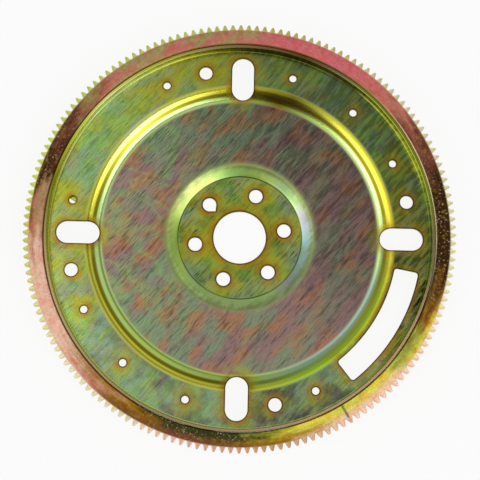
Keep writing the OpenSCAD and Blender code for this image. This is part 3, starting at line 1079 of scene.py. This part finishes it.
# Painted shade in the crease at the hub's foot
CREASE_SHADE_BAND = (52.0, 52.8, 0.8)
FOOT_BAND = (116.6, 122.6, 2.2)
DIP_BAND = (121.3, 124.4, 2.0)
CREST_BAND = (124.2, 130.0, 3.0)
HUB_BENDS = (51.5, 62.0, 3.0)
STEP_BENDS = (115.5, 131.0, 2.0)
# Bands of added roughness, with the amount last
DULL_BANDS = ((54.0, 66.0, 4.0, 0.2), (116.0, 131.0, 2.0, 0.04))
# Soft steps of the radius or of the gap to a hole: where each starts and stops, and its values there
KEPT_ON_ANNULUS = (125, 131, 1.0, 0.62)
KEPT_ON_HUB = (52, 58, 1.25, 1.0)
HUB_GAP = (50, 54, 0.8, 1.0)
HUB_SAGE = (30.0, 47.0, 0.0, 0.75)
GLOW_GAP = (3.0, 15.0, 0.6, 0.0)
HALO_GAP = (1.0, 7.0, 1.0, 0.0)
BURNT_GAP = (0.4, 1.6, 0.8, 0.0)
SHADE_START = (61, 67)
# Soft steps of a mask that goes from 0 to 1
SHADE_SPREAD = (0.0, 1.0, 0.68, 1.32)
FINE_ROUGHNESS = (0.0, 1.0, 0.17, 0.31)
# Shares that are kept of other masks
RUST_KEPT, SLATE_KEPT, FERN_KEPT, HALO_KEPT, HALO_SPARED = 0.8, 0.8, 0.75, 0.75, 0.6
FINE_DARK, BROAD_DARK, FLAT_ROUGHNESS = 0.44, 0.36, 0.05
SLOPE_FRAY = 2.5
BIAS = 1.4
SHEET_BUMP = (0.05, 0.04 * MM)
# The drips are the lines where a slow noise passes a level, every so often and so wide
DRIP_NOISE = {"Angle": -0.3, "Length": 75.0, "Width": 36.0, "Seed": 8.0, "Detail": 1.6}
DRIP_START, DRIP_EVERY, DRIP_WIDE = 0.1, 0.2, 0.14


def streaks(tree, length, width, seed, low, high):
    """Patches drawn out along the rolling direction."""
    lines = use(tree, ROLLING, Angle=ROLL_ANGLE, Length=length, Width=width, Seed=seed)["Lines"]
    return rise(lines, low, high)


def biased(mask, share):
    """Shift a mask by a share: none of it shows at 0, all of it at 1."""
    shift = calc("SUBTRACT", times(share, BIAS), BIAS / 2)
    return calc("ADD", mask, shift, clamp=True)


def band(value, low, high, edge):
    """A mask that is 1 between two values, with soft edges."""
    inner = rise(value, low - edge / 2, low + edge / 2)
    outer = rise(value, high - edge / 2, high + edge / 2, 1.0, 0.0)
    return times(inner, outer)


def drip_lines(tree, turn):
    """Pale wavy runs left by the bath on the left of the disc: level lines of a stretched noise."""
    level = use(tree, ROLLING, **DRIP_NOISE)["Lines"]
    near = calc("PINGPONG", calc("ADD", level, DRIP_START), DRIP_EVERY)
    return times(rise(near, 0.0, DRIP_WIDE, 1.0, 0.0), round_the_hoop(turn, DRIP_SHARE))


print("rolling direction:", round(np.degrees(ROLL_ANGLE)), "degrees")

# %% Sheet finish


def disc_colour(tree, turn):
    """Mauve, with sage patches, rust streaks and a few pale drips."""
    sage = biased(streaks(tree, *SAGE_STREAKS), round_the_hoop(turn, SAGE_SHARE))
    rust = times(streaks(tree, *RUST_STREAKS), RUST_KEPT)
    return layered(MAUVE, (sage, SAGE), (rust, RUST), (drip_lines(tree, turn), LEAF))


def small_patches(tree, colour, cool, warm):
    """Patches about a centimetre wide of a cooler and a warmer hue."""
    return layered(colour, (clouds(tree, *COOL_CLOUDS), cool), (clouds(tree, *WARM_CLOUDS), warm))


def annulus_colour(tree, turn):
    """Leaf green, with olive, slate and plum patches."""
    olive = biased(clouds(tree, *OLIVE_CLOUDS), round_the_hoop(turn, OLIVE_SHARE))
    slate = biased(streaks(tree, *SLATE_STREAKS), round_the_hoop(turn, SLATE_SHARE))
    plum = times(clouds(tree, *PLUM_CLOUDS), round_the_hoop(turn, PLUM_SHARE))
    colour = layered(LEAF, (olive, OLIVE), (times(slate, SLATE_KEPT), SLATE), (plum, PLUM))
    return small_patches(tree, colour, GRASS, RUST)


def hub_colour(tree, radius):
    """Citron, with grass green and a few dark patches, and sage towards its edge."""
    sage = times(clouds(tree, *HUB_SAGE_CLOUDS), rise(radius, *HUB_SAGE))
    grass, moss = clouds(tree, *GRASS_CLOUDS), clouds(tree, *MOSS_CLOUDS)
    colour = layered(CITRON, (grass, GRASS), (moss, MOSS), (sage, SAGE))
    return small_patches(tree, colour, GRASS, AMBER)


def bend_stripes(tree, radius, turn, height, colour):
    """The stripes on the bends and the rim, laid over the flats' colour: partly hue, partly painted
    highlights and shade.
    """
    tables = (SLOPE_TINT_AND_HIGHLIGHT, FOOT_TINT_AND_HIGHLIGHT, DIP_TINT_AND_SHADE, CREST_TINT_AND_HIGHLIGHT, BEND_TINT_AND_HIGHLIGHT, WALL_TINT_AND_HIGHLIGHT, END_TINT)
    slope, foot, dip, crest, bend, wall, end = [round_the_hoop(turn, table) for table in tables]
    slope = mix(clouds(tree, *SLOPE_CLOUDS), slope, LEAF)
    frayed = calc("ADD", radius, times(streaks(tree, *FRAY_STREAKS), SLOPE_FRAY))
    fading = times(rise(frayed, *SLOPE_FADE), rise(radius, *SLOPE_START))
    moved = calc("SUBTRACT", radius, round_the_hoop(turn, DIP_SHIFT))
    shade = times(rise(height, *WALL_TOP), round_the_hoop(turn, WALL_SHADE))
    return layered(
        colour,
        # Painted shade in fern green dulls the hub's top bend
        (times(band(radius, *FERN_SHADE_BAND), FERN_KEPT), FERN_SHADE),
        # Painted highlight on the hub's slope, partly its hue
        (fading, slope),
        # Painted shade in the crease at the hub's foot
        (band(radius, *CREASE_SHADE_BAND), MOSS),
        # Painted highlights on the step's foot and crest, partly their hue
        (band(radius, *FOOT_BAND), foot),
        (band(radius, *CREST_BAND), crest),
        # Painted shade on the step's mid slope
        (band(moved, *DIP_BAND), dip),
        # Painted highlight at the rim's bend and the wall's foot, partly their hue
        (rise(radius, *RIM_EDGE), bend),
        (rise(height, *WALL_EDGE), wall),
        # Painted shade towards the top of the rim's wall
        (shade, SOOT_AND_SHADE),
        (rise(height, *END_EDGE), end),
    )


def rolled_dark(tree, radius, flat, fine):
    """How dark the rolling streaks are: fine and broad, weaker on the annulus and stronger on the hub."""
    broad = streaks(tree, *BROAD_STREAKS)
    dark = calc("ADD", times(fine, FINE_DARK), times(broad, BROAD_DARK))
    kept = times(rise(radius, *KEPT_ON_ANNULUS), rise(radius, *KEPT_ON_HUB))
    return times(dark, times(flat, kept))


def flat_shade(tree, radius, turn, flat, halo):
    """Where the flats mirror the darker parts of the room, in uneven streaks that spare the holes' edges."""
    tables = [round_the_hoop(turn, table) for table in (DISC_SHADE, ANNULUS_SHADE)]
    shade = mix(rise(radius, *DISC_TO_ANNULUS), *tables)
    uneven = rise(streaks(tree, *SHADE_STREAKS), *SHADE_SPREAD)
    spared = calc("SUBTRACT", 1.0, times(halo, HALO_SPARED))
    return times(shade, times(flat, rise(radius, *SHADE_START)), uneven, spared)


def sheet_finish():
    """The plate's material: the flats' colours, the streaks, the bends, the holes' edges and the shade."""
    material, tree, shader = principled("zinc_on_rolled_sheet")
    place = use(tree, TURNED)
    radius, turn, height = place["Radius"], place["Turn"], place["Height"]
    colour = mix(rise(radius, *HUB_TO_DISC), hub_colour(tree, radius), disc_colour(tree, turn))
    colour = mix(rise(radius, *DISC_TO_ANNULUS), colour, annulus_colour(tree, turn))
    bends = calc("ADD", band(radius, *HUB_BENDS), band(radius, *STEP_BENDS))
    bends = calc("ADD", bends, rise(radius, *RIM_BEND), clamp=True)
    flat = calc("SUBTRACT", 1.0, bends)
    fine = times(streaks(tree, *FINE_STREAKS), flat)
    colour = mix(rolled_dark(tree, radius, flat, fine), colour, SOOT_AND_SHADE)
    colour = bend_stripes(tree, radius, turn, height, colour)
    gap = node(tree, "Attribute", {}, attribute_name="edge_gap").outputs["Fac"]
    gap = times(gap, rise(radius, *HUB_GAP))
    glow = times(rise(gap, *GLOW_GAP), clouds(tree, *GLOW_CLOUDS))
    halo = times(rise(gap, *HALO_GAP), clouds(tree, *HALO_CLOUDS))
    colour = layered(
        colour,
        (glow, OLIVE),
        (times(halo, HALO_KEPT), AMBER),
        (rise(gap, *BURNT_GAP), UMBER),
        (flat_shade(tree, radius, turn, flat, halo), SOOT_AND_SHADE),
    )
    rough = calc("ADD", rise(fine, *FINE_ROUGHNESS), times(flat, FLAT_ROUGHNESS))
    for *dull, amount in DULL_BANDS:
        rough = calc("ADD", rough, times(band(radius, *dull), amount))
    plated(tree, shader, colour, rough, fine, *SHEET_BUMP)
    return material


SHEET_FINISH = sheet_finish()
print(SHEET_FINISH.name, "has", len(SHEET_FINISH.node_tree.nodes), "nodes")

# %% [markdown]
# ## The finish of the ring
# The ring was turned, cut and dipped on its own, and its colour changes round the hoop: pink at the top, dark
# maroon on both sides, salmon at the lower left, and yellow near the seam. That change is partly the skin's
# own
# hue and partly a painted reflection: the bright and dark fans that the lathe's circular grooves show under
# the softboxes. Two tables round the axis, one for the inner edge and one for the outer, carry it. Patches of
# green and a deeper blush break it up, specks of bare zinc sparkle where it is dark, and the lip, the teeth
# and the seam have tints of their own. The lip's tint is a painted highlight at the upper right and painted
# shade elsewhere.

# %% Ring finish
# This table and the next are partly the skin's hue and partly a painted reflection of the lathe's bright and
# dark fans
RING_OUTER = (
    (0, UMBER), (13, UMBER), (28, MAROON), (42, CLAY), (56, PINK), (82, PINK), (98, SAND), (110, PINK),
    (120, SAND), (131, CLAY), (146, MAROON), (160, UMBER), (171, BROWN), (180, CLAY), (187, SALMON),
    (214, SALMON), (226, CLAY), (240, BROWN), (256, MAROON), (272, BROWN), (284, AMBER), (296, SALMON),
    (318, SALMON), (328, GOLD), (338, AMBER), (350, UMBER), (360, UMBER),
)
RING_INNER = (
    (0, UMBER), (14, UMBER), (30, MAROON), (44, CLAY), (58, PINK), (86, PINK), (99, CLAY), (112, PINK),
    (132, CLAY), (147, MAROON), (160, UMBER), (170, SAND), (179, SAND), (188, SALMON), (214, SALMON),
    (224, SAND), (236, AMBER), (250, MOSS), (272, MOSS), (284, OLIVE), (294, GOLD), (312, GOLD),
    (324, OLIVE), (338, BROWN), (352, UMBER), (360, UMBER),
)
GREEN_SHARE = ((0, 0.0), (78, 0.0), (95, 0.8), (135, 0.8), (150, 0.0), (290, 0.0), (305, 0.6), (330, 0.4),
               (345, 0.0), (360, 0.0))
# Painted highlight on the ring's inner lip at the upper right, painted shade in the gap elsewhere
LIP_HIGHLIGHT_AND_SHADE = ((0, CREAM), (30, CREAM), (48, TAN), (75, BROWN), (105, BROWN), (150, UMBER), (340, UMBER),
            (360, CREAM))
TOOTH_TINT = ((0, CREAM), (40, CREAM), (80, STRAW), (105, PEAR), (165, PEAR), (180, STRAW), (215, CREAM),
              (236, CREAM), (255, SALMON), (280, SAND), (305, SALMON), (328, SALMON), (345, CREAM),
              (360, CREAM))
GREEN_STREAKS = (30.0, 10.0, 12.0, 0.4, 0.75)
FLECK_CLOUDS = (1.6, 13.0, 0.56, 0.68)
BLUSH_CLOUDS = (8, 39.0, 0.46, 0.6, 0.45)
GRAIN_CLOUDS = (1.5, 35.0, 0.44, 0.64, 0.17)
GOLD_CLOUDS = (4, 33.0, 0.5, 0.75, 0.2)
SKIN_CLOUDS = (0.7, 15.0, 0.2, 0.8)
FACE_EDGE = (RING_IN_R + 3, RING_IN_R + 12)
LIP_EDGE = (RING_IN_R + 0.2, RING_IN_R + 1.0, 0.8, 0.0)
TOOTH_EDGE = (ROOT_R - 1.0, ROOT_R + 0.6)
CRACK_EDGE = (0.0002, 0.0015, 0.6, 0.0)
FLECK_LIGHT = (0.02, 0.2, 1.0, 0.12)
LATHE_DARK = (0.4, 1.0, 0.0, 0.14)
RING_ROUGHNESS = (0.0, 1.0, 0.5, 0.62)
TURN_WANDER = 0.035
FLECK_KEPT, GREEN_KEPT, TOOTH_KEPT = 0.6, 0.6, 0.95
RING_BUMP = (0.3, 0.05 * MM)


def ring_finish():
    """The ring's material: two tables round the hoop, patches and grain, then lip, teeth and seam."""
    material, tree, shader = principled("zinc_on_cut_ring")
    place = use(tree, TURNED)
    radius, here = place["Radius"], place["Turn"]
    patches = use(tree, HOOP, Length=22.0, Width=5.0)["Lines"]
    turn = calc("ADD", here, times(calc("SUBTRACT", patches, 0.5), TURN_WANDER))
    inner, outer, green = [round_the_hoop(turn, table) for table in (RING_INNER, RING_OUTER, GREEN_SHARE)]
    lip, tooth = [round_the_hoop(here, table) for table in (LIP_HIGHLIGHT_AND_SHADE, TOOTH_TINT)]
    colour = mix(rise(radius, *FACE_EDGE), inner, outer)
    dark = rise(node(tree, "RGBToBW", {0: colour}).outputs[0], *FLECK_LIGHT)
    fleck = times(clouds(tree, *FLECK_CLOUDS), dark, FLECK_KEPT)
    green = times(streaks(tree, *GREEN_STREAKS), green, GREEN_KEPT)
    colour = layered(colour, (fleck, SALMON), (green, LEAF))
    colour = mix(clouds(tree, *BLUSH_CLOUDS), colour, BLUSH, "MULTIPLY")
    on_tooth = rise(radius, *TOOTH_EDGE)
    from_seam = calc("ABSOLUTE", calc("SUBTRACT", here, SEAM_DEG / 360))
    crack = times(rise(from_seam, *CRACK_EDGE), calc("SUBTRACT", 1.0, on_tooth))
    lathe = use(tree, HOOP, Length=60.0, Width=0.5, Seed=4.0)["Lines"]
    colour = layered(
        colour,
        (clouds(tree, *GRAIN_CLOUDS), UMBER),
        (clouds(tree, *GOLD_CLOUDS), GOLD),
        # Painted highlight and painted shade on the ring's inner lip
        (rise(radius, *LIP_EDGE), lip),
        (times(on_tooth, TOOTH_KEPT), tooth),
        (crack, UMBER),
        (rise(lathe, *LATHE_DARK), UMBER),
    )
    grain = clouds(tree, *SKIN_CLOUDS)
    plated(tree, shader, colour, rise(grain, *RING_ROUGHNESS), grain, *RING_BUMP)
    return material


RING_FINISH = ring_finish()
print(RING_FINISH.name, "has", len(RING_FINISH.node_tree.nodes), "nodes")

# %% [markdown]
# ## The finish of welds and slab
# Beads and slab went through the same bath, but their skins are rougher and duller. Both are clouds of two
# hues with flecks of a third, over a grain that roughens and bumps the metal.

# %% Weld and slab finishes
GRAIN_MASK = (1.4, 23.0, 0.2, 0.8)
HUE_SEED = 21.0
FLECK_MASK = (22.0, 0.5, 0.7, 0.5)
ROUGH_SPREAD = (-0.06, 0.1)
ROUGH_BUMP = 0.5


def rough_finish(name, low, high, fleck, size, roughness, depth):
    """A rough zinc skin: two hues in clouds of a size, flecks of a third, and a bump of a depth in metres."""
    material, tree, shader = principled(name)
    hues, flecks = clouds(tree, size, HUE_SEED), clouds(tree, size / 4, *FLECK_MASK)
    colour = layered(low, (hues, high), (flecks, fleck))
    grain = clouds(tree, *GRAIN_MASK)
    rough = rise(grain, 0.0, 1.0, *[roughness + change for change in ROUGH_SPREAD])
    plated(tree, shader, colour, rough, grain, ROUGH_BUMP, depth)
    return material


WELD_FINISH = rough_finish("zinc_on_weld", OLIVE, BROWN, RUST, 10, 0.42, 0.12 * MM)
SLAB_FINISH = rough_finish("zinc_on_cut_slab", LEAF, OLIVE, MAUVE, 26, 0.36, 0.08 * MM)
print(WELD_FINISH.name, SLAB_FINISH.name)

# %% [markdown]
# ## From arrays to pieces
# A piece is a mesh filled straight from the arrays, at the origin and unscaled, with its place in its points.
# It rides on the only body, takes the place of the solid that it dresses and says which finish it wears.
# The grids run in different directions, so the faces of each closed piece are turned outwards together.
# Smooth shading with creases at sharp angles keeps the bends soft and the punched edges crisp. On the plate's
# two faces the normals come from the section itself, so that the highlights on the bends run clean.

# %% The five pieces
CREASE_DEG = 32.0
FAR_GAP = 60.0


def face_outwards(mesh):
    """Turn every face of a closed mesh outwards, and tell its volume and whether any edge is open."""
    shell = bmesh.new()
    shell.from_mesh(mesh)
    bmesh.ops.recalc_face_normals(shell, faces=shell.faces)
    open_edges = sum(not edge.is_contiguous for edge in shell.edges)
    print(mesh.name, "holds", round(shell.calc_volume(signed=True) / MM ** 3), "mm3, open edges:", open_edges)
    shell.to_mesh(mesh)
    shell.free()


def add_object(name, data):
    """A new object at the origin, linked to the scene."""
    made = bpy.data.objects.new(name, data)
    bpy.context.scene.collection.objects.link(made)
    return made


def make_piece(name, points, faces, dressed, slot, material):
    """A mesh object from points in millimetres and a list or array of faces."""
    mesh = bpy.data.meshes.new(name)
    faces = faces.tolist() if isinstance(faces, np.ndarray) else faces
    mesh.from_pydata((points * MM).tolist(), [], faces)
    face_outwards(mesh)
    mesh.materials.append(material)
    mesh.shade_smooth()
    mesh.set_sharp_from_angle(angle=np.radians(CREASE_DEG))
    piece = add_object(name, mesh)
    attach(piece, "root")
    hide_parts(dressed)
    return piece


def edge_gaps():
    """For each point of the plate, the distance in plan to the nearest hole's outline."""
    gap = np.full(len(plan), FAR_GAP)
    for start, stop in outline_ranges:
        gap = np.minimum(gap, distance_to(plan, plan[start:stop]))
    rim = np.full(len(plate_points) - 2 * len(plan), FAR_GAP)
    return np.concatenate([gap, gap, rim])


def section_normals(mesh):
    """Normals of the lifted sheet from the slope of its section, which uneven triangles would blur.

    In front they are (-s x / r, -s y / r, 1) made one long, with s the section's slope at the radius r, and
    behind they are the same with the sign turned. Hole walls, broken edges and the rim keep their own.
    """
    radius = np.linalg.norm(plan, axis=1, keepdims=True)
    skin = np.zeros((len(plate_points), 3))
    broken = np.zeros(len(plate_points), bool)
    at_rim = np.zeros(len(plate_points), bool)
    for first, edge, sign in ((0, FRONT_EDGE, 1), (len(plan), BACK_EDGE, -1)):
        slope = np.interp(radius, edge[:, 0], np.gradient(edge[:, 1], edge[:, 0]))
        normal = sign * np.hstack([-slope * plan / radius, np.ones_like(radius)])
        skin[first:first + len(plan)] = normal / np.linalg.norm(normal, axis=1, keepdims=True)
        at_rim[first + rim_range[0]:first + rim_range[1]] = True
        for start, stop in outline_ranges:
            broken[first + start:first + stop] = True
    corner = np.empty(len(mesh.loops), np.int32)
    mesh.loops.foreach_get("vertex_index", corner)
    normals = np.empty(3 * len(corner), np.float32)
    mesh.corner_normals.foreach_get("vector", normals)
    normals = normals.reshape(-1, 3)
    faces = corner.reshape(-1, 3)
    lifted = (faces < 2 * len(plan)).all(1) & ~broken[faces].any(1)
    exact = np.repeat(lifted, 3) | at_rim[corner]
    normals[exact] = skin[corner[exact]]
    mesh.normals_split_custom_set(normals.tolist())
    print("exact normals at", int(exact.sum()), "of", len(exact), "corners")


plate = make_piece("pressed_plate", plate_points, plate_faces, "stamped_plate", "plated_sheet", SHEET_FINISH)
gap_layer = plate.data.attributes.new("edge_gap", "FLOAT", "POINT")
gap_layer.data.foreach_set("value", edge_gaps().astype(np.float32))
section_normals(plate.data)
others = (
    ("starter_ring", ring_points, ring_faces, "ring_gear", "plated_ring", RING_FINISH),
    ("stitch_welds", stitch_points, stitch_faces, "ring_stitch_welds", "plated_weld", WELD_FINISH),
    ("balance_slab", slab_points, slab_faces, "balance_weight", "plated_slab", SLAB_FINISH),
    ("slab_welds", slab_bead_points, slab_bead_faces, "weight_welds", "plated_weld", WELD_FINISH),
)
for piece in [plate] + [make_piece(*row) for row in others]:
    print(piece.name, len(piece.data.polygons), "faces")

# %% [markdown]
# ## The camera
# The picture was taken from almost straight above with a long lens. The tilt, roll, distance and focal length
# were found by fitting the hole centres, so the camera is written as those few numbers.

# %% Camera
PICTURE = 480
FOCAL_PX = 1250.833
DISTANCE = 1050.725
TILT_DEG = -8.90394
SWING_DEG = 0.89135
ROLL_DEG = -1.31648
SHIFT_MM = (-0.1607, 3.6062)
SENSOR = 36.0


def add_camera():
    """The plate is turned by roll, tilt and swing before a fixed camera, so the camera takes the inverse."""
    turn = Matrix.Rotation(np.radians(SWING_DEG), 4, "Y")
    turn = turn @ Matrix.Rotation(np.radians(TILT_DEG), 4, "X")
    turn = turn @ Matrix.Rotation(np.radians(ROLL_DEG), 4, "Z")
    away = Matrix.Translation((SHIFT_MM[0] * MM, SHIFT_MM[1] * MM, -DISTANCE * MM))
    level = Matrix.Translation((0, 0, -ANNULUS_Z * MM))
    lens = bpy.data.cameras.new("photo_camera")
    lens.sensor_width = SENSOR
    lens.lens = FOCAL_PX / PICTURE * SENSOR
    lens.clip_start = 0.01
    camera = add_object("photo_camera", lens)
    camera.matrix_world = (away @ turn @ level).inverted()
    bpy.context.scene.camera = camera
    return camera


camera = add_camera()
print("camera at", np.round(np.array(camera.matrix_world.translation), 3).tolist())

# %% [markdown]
# ## Floor and studio light
# The part lies on a white table. The floor is a plain diffuse white that takes the shadow, mixed with a
# white glow for rays that come from the camera or off the metal, so that it reads as a white page. The light
# is a pale room, made lighter or darker in a few round lobes, and two softboxes above, one out to the left
# and one to the lower right of the camera. The boxes and the lighter lobes are what the bends show as bright
# stripes, and the darker lobes, where the photographer stands, are the dark part of each stripe.

# %% Floor
FLOOR_HALF = 3.0
PAGE_SHARE = 0.88
TABLE_COLOUR = (0.9, 0.9, 0.9, 1.0)
TABLE_ROUGHNESS = 0.9
TABLE_GLOSS = 0.1
WHITE = (1.0, 1.0, 1.0, 1.0)


def add_floor():
    """The table: a wide square at height zero, shaded as told above."""
    mesh = bpy.data.meshes.new("table")
    h = FLOOR_HALF
    mesh.from_pydata([(-h, -h, 0), (h, -h, 0), (h, h, 0), (-h, h, 0)], [], [(0, 1, 2, 3)])
    material, tree, shader = principled("white_table")
    shader.inputs["Base Color"].default_value = TABLE_COLOUR
    shader.inputs["Roughness"].default_value = TABLE_ROUGHNESS
    shader.inputs["Specular IOR Level"].default_value = TABLE_GLOSS
    path = node(tree, "LightPath", {}).outputs
    seen = calc("MAXIMUM", path["Is Camera Ray"], path["Is Glossy Ray"])
    seen = calc("MAXIMUM", seen, path["Is Transmission Ray"])
    glow = node(tree, "Emission", {"Color": WHITE, "Strength": 1.0})
    both = node(tree, "MixShader", {0: times(seen, PAGE_SHARE), 1: shader.outputs[0], 2: glow.outputs[0]})
    wire(tree, tree.nodes["Material Output"].inputs[0], both.outputs[0])
    mesh.materials.append(material)
    floor = add_object("table", mesh)
    return floor


floor = add_floor()
print(floor.name, "is", 2 * FLOOR_HALF, "m wide")

# %% Light
ROOM_LEVEL = 0.4
# Azimuth and lean of each lobe, the angles from its middle where it is full and where it ends, and its amount
ROOM_LOBES = (
    (250, 25, 10, 34, -0.4),
    (42, 12, 7, 24, -0.4),
    (40, 46, 10, 32, 0.3),
    (150, 8, 8, 22, 0.75),
    (205, 66, 14, 42, 0.95),
    (317, 62, 14, 42, 1.1),
)
BOX_HEIGHT = 2.2
# Azimuth of each box, its reach outwards and sideways in metres, and its level
SOFTBOXES = (
    ("softbox_right", 325, 0.45, 1.4, -0.42, 0.66, 2.3),
    ("softbox_left", 180, 0.55, 1.3, -0.22, 0.5, 2.3),
)


def sky_direction(azimuth, lean):
    """Unit vector at an azimuth, leaning from straight up."""
    a, b = np.radians(azimuth), np.radians(lean)
    return (float(np.sin(b) * np.cos(a)), float(np.sin(b) * np.sin(a)), float(np.cos(b)))


def add_room():
    """An even room with lighter and darker lobes, each a soft step of the cosine to its direction."""
    world = bpy.data.worlds.new("studio")
    world.use_nodes = True
    tree = world.node_tree
    ray = node(tree, "TexCoord", {}).outputs["Generated"]
    level = ROOM_LEVEL
    for azimuth, lean, inner, outer, amount in ROOM_LOBES:
        towards = sky_direction(azimuth, lean)
        cosine = node(tree, "VectorMath", {0: ray, 1: towards}, operation="DOT_PRODUCT").outputs["Value"]
        ends = np.cos(np.radians([outer, inner])).tolist()
        level = calc("ADD", level, rise(cosine, ends[0], ends[1], 0.0, amount))
    seen = node(tree, "LightPath", {}).outputs["Is Camera Ray"]
    level = calc("MAXIMUM", level, seen)
    sky = tree.nodes["Background"]
    sky.inputs["Color"].default_value = WHITE
    wire(tree, sky.inputs["Strength"], level)
    bpy.context.scene.world = world


def add_softbox(name, azimuth, near, far, right, left, level):
    """A flat softbox overhead, out along an azimuth from near to far, that shines with a given level.

    A lamp of this kind shows a brightness of its power over pi and its area.
    """
    lamp = bpy.data.lights.new(name, "AREA")
    lamp.shape = "RECTANGLE"
    lamp.size = far - near
    lamp.size_y = left - right
    lamp.energy = level * np.pi * lamp.size * lamp.size_y
    box = add_object(name, lamp)
    middle = Matrix.Translation(((near + far) / 2, (right + left) / 2, BOX_HEIGHT))
    box.matrix_world = Matrix.Rotation(np.radians(azimuth), 4, "Z") @ middle
    return box


add_room()
boxes = [add_softbox(*row) for row in SOFTBOXES]
bpy.context.scene.view_settings.view_transform = "Standard"
print(len(ROOM_LOBES), "lobes;", [(box.name, round(box.data.energy, 2)) for box in boxes], "in watts")
